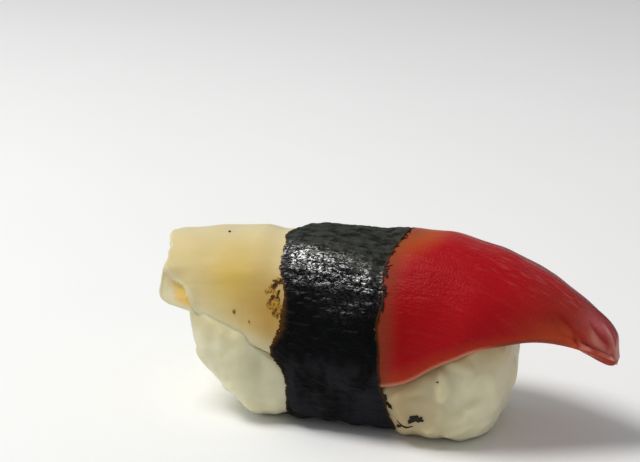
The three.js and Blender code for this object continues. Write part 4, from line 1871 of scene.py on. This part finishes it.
    def grain(
        self, spot: Array, normal: Array, turn: float, sink: float, number: int, rng: Draw
    ) -> Array:
        """Lays one grain on the core.

        Args:
            spot: The point of the core.
            normal: The normal there.
            turn: How far its long side is turned round the normal.
            sink: How deep it is pressed in.
            number: Its number, which picks its dents.
            rng: The seeded draw.

        Returns:
            Its points.
        """
        unit = self.unit_grain()[0]
        grain = unit * self.grain_half * (1 + self.size_spread * rng.uniform(-1, 1, 3))
        grain[:, 0] += rng.uniform(*self.grain_bend) * grain[:, 1] ** 2
        dents = noise(unit * self.dent_pitch + self.dent_step * number, self.dent_seed)
        grain += self.dent_height * dents[:, None] * unit
        side = np.cross(normal, self.side_guides[int(abs(normal[2]) > self.steep)])
        side /= np.linalg.norm(side)
        across = math.cos(turn) * side + math.sin(turn) * np.cross(normal, side)
        lift = normal + rng.uniform(-self.grain_tilt, self.grain_tilt, 3)
        along = np.cross(lift, across)
        along /= np.linalg.norm(along)
        lift /= np.linalg.norm(lift)
        across = np.cross(along, lift)
        return self.fitted(spot - normal * sink + grain @ np.stack((across, along, lift)))

    def build(self, finish: RiceFinish) -> Piece:
        """Makes the block: core and grains, pressed into one.

        Args:
            finish: What it is made of.

        Returns:
            The piece.
        """
        grains = self.grain_meshes()
        grain_faces = self.unit_grain()[1]
        core, core_faces = self.core_mesh()
        faces = [core_faces]
        faces += [grain_faces + len(core) + n * len(grains[0]) for n in range(len(grains))]
        rough = make_object(
            "rough_rice",
            (np.concatenate((core, *grains)) + self.shift) * MM,
            np.concatenate(faces),
            finish.material(),
        )
        piece = fused(rough, "rice_block", self.voxel, self.soften_passes)
        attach(piece, "root")
        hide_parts("rice")
        log.info("%d grains show", len(grains))
        report(piece)
        return piece


# ---- Nori


@dataclass(frozen=True)
class Scrap:
    """A scrap: the point that it is dropped towards, its half size, its turn and its rag."""

    x: float
    y: float
    z: float
    half_length: float
    half_width: float
    turn: float
    rag: float = 0.6


@dataclass
class NoriBand:
    """The band: a thin crinkled sheet with torn edges, closed round slice and rice."""

    form: BandForm
    shift: Array
    sides: int = 560
    rows: int = 60
    inner: float = 0.10
    outer: float = 0.62
    edge_outer: float = 0.22
    edge_reach: float = 2.2
    left_seed: int = 52
    right_seed: int = 64
    quick_seed_step: int = 7
    fray_seed_step: int = 15
    hair_seed_step: int = 31
    tear: float = 0.36
    tear_pitch: float = 4
    quick_pitch: float = 4.7
    hair_pitch: float = 17
    fray_pitch: float = 0.9
    slow_share: float = 0.9
    quick_share: float = 0.45
    hair_share: float = 0.1
    frayed: Fade = Fade(0.6, (-0.2, 0.6))
    fold_size: Triple = (4.2, 1.5, 1.5)
    fold_height: float = 0.26
    fold_middle: float = 0.7
    fold_seed: int = 41
    bubble_size: float = 0.85
    bubble_height: float = 0.10
    bubble_seed: int = 44
    wave_size: float = 6
    wave_height: float = 0.16
    wave_seed: int = 46
    on_board: Span = (-0.55, -0.9)
    inner_crinkle: float = 0.5
    inner_crinkle_from: Span = (0, 0.8)
    left_edge: Knots = (
        (-90, 1.4), (-66, 2), (-55, 1.5), (-42, 1.5), (-30, 1.9), (-20, 1.5), (-12, 0.4),
        (0, -0.8), (10, 0.3), (20, 1.2), (45, 1.4), (55, 0.5), (70, 0.3), (86, -0.2), (98, 1.2),
        (112, 2.2), (140, 0.4), (180, -0.4), (225, 0.2), (270, 1.4),
    )
    right_edge: Knots = (
        (-90, 1.2), (-66, 2.0), (-54, 3.2), (-46, 3.4), (-38, 2.2), (-30, 1.9), (-15, 0.8),
        (0, 0.5), (25, 0.4), (34, 0.6), (41, 1.5), (50, 0.8), (60, 1), (75, 2), (84, 3.4),
        (92, 3.8), (120, 2.2), (150, 0.6), (180, -0.5), (225, 0.3), (270, 1.2),
    )
    closer_at_edges: float = 0.06
    table_x: tuple[int, int] = (-30, 12)
    brown_edge: float = 0.85
    thin_width: float = 0.45
    thin_spot: Bell = Bell(1.3, 18, 16)
    askew_marks: float = -20
    shine_turn: float = 67
    shine_reach: Span = (7.5, 1.5)
    shine_strength: Span = (1.2, -0.9)
    side_shine: Bell = Bell(0.28, 50, 8)
    low_shine: Bell = Bell(0.2, 34, 6)
    low_shine_across: Bell = Bell(1, 0.62, 0.2)
    upper_near: Span = (66, 76)
    upper_far: Span = (140, 122)
    lower_near: Span = (-8, 6)
    lower_far: Span = (188, 174)
    thread_count: int = 26
    thread_turn: Span = (72, 22)
    thread_turn_range: Span = (20, 110)
    thread_jitter: float = 0.3
    thread_length: Span = (0.2, 0.65)
    thread_width: Span = (0.07, 0.22)
    thread_lean: Span = (0.3, 0.9)
    thread_rag: float = 0.9
    thread_seed: int = 41

    def torn(self, turns: Array, seed: int) -> Array:
        """Raggedness of an edge, frayed in some stretches and clean in others.

        Args:
            turns: Angles round the band.
            seed: Which edge.

        Returns:
            How far the edge is moved along the band's axis, in millimetres.
        """
        circle = np.stack((np.cos(turns), np.sin(turns), np.zeros_like(turns)), -1)
        spot = self.tear_pitch * circle
        slow = noise(spot, seed, 2)
        quick = noise(spot * self.quick_pitch, seed + self.quick_seed_step, 2)
        frayed = self.frayed.at(noise(spot * self.fray_pitch, seed + self.fray_seed_step, 1))
        hairs = noise(spot * self.hair_pitch, seed + self.hair_seed_step, 2)
        hairs = (self.hair_share + frayed) * hairs
        return self.tear * (self.slow_share * slow + self.quick_share * quick + hairs)

    def crinkles(self, points: Array, upward: Array) -> Array:
        """Height of the crinkles over the smooth sheet.

        Args:
            points: Points of the sheet.
            upward: How far up the sheet faces, from -1 to 1.

        Returns:
            Heights in millimetres, 0 on the board.
        """
        folds = 1 - np.abs(noise(points / self.fold_size, self.fold_seed, 3)) - self.fold_middle
        bubbles = noise(points / self.bubble_size, self.bubble_seed, 3)
        waves = noise(points / self.wave_size, self.wave_seed, 2)
        height = self.fold_height * folds + self.bubble_height * bubbles + self.wave_height * waves
        return height * (1 - ease(*self.on_board, upward))

    def marks(self, degrees: Array, share: Array, from_edge: Array) -> dict[str, Array]:
        """Values that the finish reads, for the outer and the inner face of the sheet.

        Args:
            degrees: Angles round the band, in degrees.
            share: How far across the band each row is, from 0 to 1.
            from_edge: Distances from the nearer edge, of shape (sides, rows).

        Returns:
            Values for each point, by name.
        """
        thin = self.thin_width + self.thin_spot.at(degrees)[:, None] * (share < 0.5)
        edge = self.brown_edge * (1 - ease(0.0, thin, from_edge))
        across = np.concatenate((share[::-1], share))
        around = np.broadcast_to(degrees[:, None], (len(degrees), len(across)))
        askew = self.askew_marks * across
        reach = self.shine_reach[0] + self.shine_reach[1] * across
        shine = swell(around, self.shine_turn + askew, reach)
        shine = shine * (self.shine_strength[0] + self.shine_strength[1] * across)
        low_shine = self.low_shine.at(around) * self.low_shine_across.at(across)
        upper = ease(self.upper_near[0] + askew, self.upper_near[1] + askew, around)
        return {
            "edge": np.concatenate((edge[:, ::-1], edge), axis=1),
            "moist": shine + self.side_shine.at(around) + low_shine,
            # upper: where the dust and painted sheen lie, on the top of the band.
            "upper": upper * ease(*self.upper_far, around),
            # lower: where the painted sheen lies, low on the band near the board.
            "lower": 1 - ease(*self.lower_near, around) * ease(*self.lower_far, around),
        }

    def build(self, finish: NoriFinish) -> Piece:
        """Makes the band.

        Args:
            finish: What it is made of.

        Returns:
            The piece.
        """
        place, centre = self.form.band, self.form.centre_z
        turns = all_round(self.sides)
        reach = self.form.reach_table(self.inner, turns, *self.table_x)
        near = SectionTable(self.table_x[0], 1.0, reach)
        degrees = np.degrees(turns)
        left = place.left + through(self.left_edge, degrees) + self.torn(turns, self.left_seed)
        right = place.right + through(self.right_edge, degrees) + self.torn(turns, self.right_seed)
        share = np.linspace(0, 1, self.rows + 1)
        share = share - self.closer_at_edges * np.sin(2 * math.pi * share)
        straight = left[:, None] + (right - left)[:, None] * share
        grid_turns = np.broadcast_to(turns[:, None], straight.shape)
        y = -near.at(straight, grid_turns) * np.cos(grid_turns)
        x = straight - place.skew * y
        base = near.at(x, grid_turns)
        sheet = round_section(x, base, grid_turns, centre)
        from_edge = np.minimum(straight - left[:, None], right[:, None] - straight)
        inwards = ease(0, self.edge_reach, from_edge)
        thick = self.edge_outer + (self.outer - self.edge_outer) * inwards
        height = self.crinkles(sheet, np.sin(grid_turns))
        outside = round_section(x, base + thick - self.inner + height, grid_turns, centre)
        lift = np.minimum(self.inner_crinkle * height, 0)
        lift = lift * ease(*self.inner_crinkle_from, from_edge)
        inside = round_section(x, base + lift, grid_turns, centre)
        rings = np.concatenate((outside[:, ::-1], inside), axis=1)
        rings[..., 2] = np.maximum(rings[..., 2], 0)
        piece = make_object(
            "nori_band",
            (rings.reshape(-1, 3) + self.shift) * MM,
            ring_faces(self.sides, rings.shape[1], True),
            finish.material(),
            self.marks(degrees, share, from_edge),
        )
        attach(piece, "root")
        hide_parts("nori")
        report(piece)
        return piece

    def threads(self) -> tuple[Scrap, ...]:
        """Draws fine torn threads that lie along the right edge, most of them near the top.

        Returns:
            The threads.
        """
        rng = np.random.default_rng(self.thread_seed)
        place = self.form.band
        scraps = []
        for _ in range(self.thread_count):
            degrees = float(np.clip(rng.normal(*self.thread_turn), *self.thread_turn_range))
            turn = math.radians(degrees)
            along = place.right + float(through(self.right_edge, np.array(degrees)))
            reach = self.form.reach_off(round(along), np.array([turn]), 0.0)[0]
            y = -reach * math.cos(turn)
            x = along - place.skew * y + rng.uniform(-self.thread_jitter, self.thread_jitter)
            z = self.form.centre_z + reach * math.sin(turn)
            length, width = rng.uniform(*self.thread_length), rng.uniform(*self.thread_width)
            lean = rng.normal(*self.thread_lean)
            scraps.append(Scrap(x, y, z, length, width, lean, self.thread_rag))
        return tuple(scraps)


# ---- Scraps of nori and specks


DARK_SCRAPS = (
    Scrap(8.6, -14.9, 5.0, 1.15, 0.65, 0.35),
    Scrap(6.6, -13.5, 3.6, 1.3, 0.16, -0.25),
    Scrap(5.2, -12.6, 3.4, 0.5, 0.22, 0.5),
    Scrap(3.6, -12.8, 7.0, 0.75, 0.40, -0.5),
    Scrap(3.0, -13.3, 8.6, 0.6, 0.45, 0.2),
    Scrap(-28.6, -2.05, 29.4, 0.24, 0.22, 0),
    Scrap(12.3, -13.0, 12.6, 0.2, 0.12, 0),
)
THIN_SCRAPS = (
    Scrap(-16.4, -10.4, 24.8, 1.0, 0.8, 0.3, 0.7),
    Scrap(-17.3, -11.0, 23.8, 0.5, 0.45, 0.4, 0.7),
    Scrap(-16.4, -11.7, 22.9, 0.8, 1.1, 0, 0.7),
    Scrap(-16.5, -12.2, 21.8, 0.75, 1.3, 0.1, 0.6),
    Scrap(-15.8, -12.6, 20.9, 0.8, 1.0, 0.2, 0.6),
    Scrap(-18.1, -11.4, 23.3, 0.34, 0.28, 0, 0.6),
    Scrap(-23.5, -13.0, 19.6, 0.2, 0.26, 0, 0.5),
    Scrap(-20.6, -13.6, 18.4, 0.13, 0.2, 0, 0.5),
)


@dataclass
class ScrapSheet:
    """Scraps of one kind, laid on what carries them and joined as one mesh."""

    name: str
    scraps: tuple[Scrap, ...]
    carriers: list[Piece]
    shift: Array
    thickness: float = 0.12
    gap: float = 0.03
    rings: int = 5
    sides: int = 44
    reach: float = 9.0
    rag_pitch: float = 2
    rag_step: float = 9
    level: float = 0.1
    seed: int = 61

    def tree(self) -> BVHTree:
        """Joins the surfaces of all carriers.

        Returns:
            The surfaces as one tree, in metres.
        """
        vertices: list[Vector] = []
        polygons: list[list[int]] = []
        for carrier in self.carriers:
            start = len(vertices)
            vertices += [vertex.co.copy() for vertex in carrier.data.vertices]
            polygons += [[start + i for i in face.vertices] for face in carrier.data.polygons]
        return BVHTree.FromPolygons(vertices, polygons)

    def outline(self, scrap: Scrap, number: int) -> Array:
        """Flat points of a scrap, ring by ring from its middle.

        Args:
            scrap: The scrap.
            number: Its number, which picks its outline.

        Returns:
            Points of shape (rings, sides, 2).
        """
        turns = 2 * math.pi * np.arange(self.sides) / self.sides
        cos, sin = np.cos(turns), np.sin(turns)
        along, across = self.rag_pitch * cos, self.rag_pitch * sin
        rag = 1 + scrap.rag * sheet_noise(along, across, self.seed, 3, self.rag_step * number)
        shares = np.arange(1, self.rings + 1)[:, None] / self.rings
        flat = np.stack((scrap.half_length * cos, scrap.half_width * sin), -1)
        return shares[..., None] * (rag[:, None] * flat)[None]

    def laid(self, scrap: Scrap, number: int, tree: BVHTree) -> tuple[Array, Array]:
        """Lays one scrap on its carriers.

        Args:
            scrap: The scrap.
            number: Its number, which picks its outline.
            tree: The surfaces that carry it.

        Returns:
            Points of its upper and of its lower face, in metres, middle point first.
        """
        aim = Vector((np.array((scrap.x, scrap.y, scrap.z)) + self.shift) * MM)
        outward = tree.find_nearest(aim)[1]
        side = outward.cross(Vector((0, 0, 1)))
        side = side.normalized() if side.length > self.level else Vector((1, 0, 0))
        if side.x < 0:
            side = -side
        up = outward.cross(side).normalized()
        cos, sin = math.cos(scrap.turn), math.sin(scrap.turn)
        flat = self.outline(scrap, number).reshape(-1, 2)
        flat = np.vstack(((0.0, 0.0), flat))
        upper, lower = [], []
        for u, v in flat:
            at = aim + side * float(cos * u - sin * v) * MM + up * float(sin * u + cos * v) * MM
            start = at + outward * self.reach * MM
            hit = tree.ray_cast(start, -outward)[0]
            if hit is None:
                hit = tree.find_nearest(at)[0]
            lower.append(hit + outward * self.gap * MM)
            upper.append(hit + outward * (self.gap + self.thickness) * MM)
        return np.array(upper), np.array(lower)

    def build(self, material: Material) -> Piece:
        """Makes the scraps.

        Args:
            material: What they are made of.

        Returns:
            The piece.
        """
        tree = self.tree()
        points, faces = [], []
        count = 1 + self.rings * self.sides
        k = np.arange(self.sides)
        after = (k + 1) % self.sides
        fan = np.stack((np.zeros_like(k), 1 + k, 1 + after), -1)
        skirts = []
        for ring in range(self.rings - 1):
            here, there = 1 + ring * self.sides, 1 + (ring + 1) * self.sides
            skirt = np.stack((here + k, there + k, there + after, here + after), -1)
            skirts.append(triangles(skirt))
        sheet = np.concatenate([fan, *skirts])
        rim = 1 + (self.rings - 1) * self.sides
        below = rim + count
        wall = triangles(np.stack((rim + k, below + k, below + after, rim + after), -1))
        closed = np.concatenate((sheet, sheet[:, ::-1] + count, wall))
        for number, scrap in enumerate(self.scraps):
            upper, lower = self.laid(scrap, number, tree)
            points += [upper, lower]
            faces.append(closed + 2 * count * number)
        piece = make_object(self.name, np.concatenate(points), np.concatenate(faces), material)
        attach(piece, "root")
        report(piece)
        return piece


# ---- Studio


@dataclass(frozen=True)
class Lamp:
    """A soft round light: its place and its width in metres, its power in watts, its colour."""

    name: str
    place: Triple
    width: float
    power: float
    tint: Colour


@dataclass
class Studio:
    """Pale floor, soft light and the camera at the photograph's angle."""

    shift: Array
    floor_half: float = 0.9
    azimuth: float = 17
    elevation: float = 22
    roll: float = 1.2
    distance: float = 250
    target: Triple = (0, 0, 14)
    target_pixel: Span = (392, 334)
    focal_pixels: float = 1475
    sensor: float = 36
    nearest: float = 0.01
    lamps: tuple[Lamp, ...] = (
        Lamp("overhead", (-0.29, -0.13, 0.66), 0.30, 3.6, (1.0, 0.99, 0.97)),
        Lamp("window", (-0.72, 0.10, 0.28), 0.5, 1.1, (0.96, 0.98, 1.0)),
    )
    lamp_aim: Triple = (0, 0, 0.015)
    sky: Colour = (0.96, 0.98, 1.0)
    sky_strength: float = 0.34

    def build_floor(self) -> None:
        """Makes the floor, which isn't part of the object."""
        half = self.floor_half
        corners = np.array(((-half, -half, 0), (half, -half, 0), (half, half, 0), (-half, half, 0)))
        floor = make_object("floor", corners, np.array(((0, 1, 2, 3),)), FloorFinish().material())

    def build_camera(self) -> None:
        """Makes the camera, turned so that the target lies at its pixel with no lens shift."""
        azimuth, elevation = math.radians(self.azimuth), math.radians(self.elevation)
        back = Vector(
            (
                math.sin(azimuth) * math.cos(elevation),
                -math.cos(azimuth) * math.cos(elevation),
                math.sin(elevation),
            )
        )
        level = Vector((math.cos(azimuth), math.sin(azimuth), 0))
        roll = Matrix.Rotation(math.radians(self.roll), 3, back)
        right, up = roll @ level, roll @ back.cross(level)
        place = Vector((np.array(self.target) + self.shift) * MM) + back * self.distance * MM
        aside = (self.target_pixel[0] - PICTURE[0] / 2) / self.focal_pixels
        below = (self.target_pixel[1] - PICTURE[1] / 2) / self.focal_pixels
        forward = (-back - right * aside + up * below).normalized()
        right = forward.cross(up).normalized()
        up = right.cross(forward)
        camera = bpy.data.objects.new("camera", bpy.data.cameras.new("camera"))
        camera.data.sensor_width = self.sensor
        camera.data.lens = self.focal_pixels * self.sensor / PICTURE[0]
        camera.data.clip_start = self.nearest
        turn = Matrix((right, up, -forward)).transposed().to_4x4()
        camera.matrix_world = Matrix.Translation(place) @ turn
        bpy.context.scene.collection.objects.link(camera)
        bpy.context.scene.camera = camera

    def hang(self, lamp: Lamp) -> None:
        """Hangs a lamp so that it faces the nigiri.

        Args:
            lamp: The lamp.
        """
        data = bpy.data.lights.new(lamp.name, "AREA")
        data.shape = "DISK"
        data.size = lamp.width
        data.energy = lamp.power
        data.color = lamp.tint
        light = bpy.data.objects.new(lamp.name, data)
        light.location = lamp.place
        aim = Vector(self.lamp_aim) - Vector(lamp.place)
        light.rotation_euler = aim.to_track_quat("-Z", "Y").to_euler()
        bpy.context.scene.collection.objects.link(light)

    def build_light(self) -> None:
        """Makes the soft studio light and the even light all round."""
        for lamp in self.lamps:
            self.hang(lamp)
        world = bpy.data.worlds.new("studio")
        world.use_nodes = True
        background = world.node_tree.nodes["Background"]
        background.inputs["Color"].default_value = (*self.sky, 1)
        background.inputs["Strength"].default_value = self.sky_strength
        bpy.context.scene.world = world
        bpy.context.scene.view_settings.view_transform = "Standard"

    def build(self) -> None:
        """Makes floor, camera and light."""
        self.build_floor()
        self.build_camera()
        self.build_light()


# ---- The nigiri


@dataclass
class Nigiri:
    """The whole nigiri, put together from slice, rice, band and scraps."""

    band: BandPlace = field(default_factory=BandPlace)
    black: ScrapFinish = ScrapFinish("nori_scrap", (0.004, 0.004, 0.004), (0.020, 0.013, 0.006))
    brown: ScrapFinish = ScrapFinish("thin_nori", (0.050, 0.018, 0.003), (0.42, 0.22, 0.030))
    thin_seed: int = 67
    cad_stations: int = 36
    cad_sides: int = 18

    def __post_init__(self) -> None:
        """Works out the forms, and the shift that takes them to where the frame has the slice."""
        self.slice_form = SliceForm(self.band)
        self.rice_form = RiceForm(self.slice_form, self.band)
        self.band_form = BandForm(self.slice_form, self.rice_form, self.band)
        low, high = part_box("clam")
        middle = (np.array(low) + np.array(high)) / 2 / MM
        self.shift = middle - self.slice_form.box_middle(self.cad_stations, self.cad_sides)
        log.info("forms are shifted by %s mm", np.round(self.shift, 3))

    def build(self) -> None:
        """Makes every piece of the nigiri."""
        carriers = [
            RiceBlock(self.rice_form, self.band_form, self.shift).build(RiceFinish()),
            ClamSlice(self.slice_form, self.shift).build(FleshFinish()),
        ]
        band = NoriBand(self.band_form, self.shift)
        band.build(NoriFinish())
        dark = ScrapSheet("nori_scraps", DARK_SCRAPS + band.threads(), carriers, self.shift)
        dark.build(self.black.material())
        thin = ScrapSheet(
            "thin_nori_scraps", THIN_SCRAPS, carriers, self.shift, seed=self.thin_seed
        )
        thin.build(self.brown.material())


def main() -> None:
    """Builds the nigiri and its studio."""
    logging.basicConfig(level=logging.INFO, format="%(name)s: %(message)s")
    nigiri = Nigiri()
    nigiri.build()
    Studio(nigiri.shift).build()


if __name__ == "__main__":
    main()
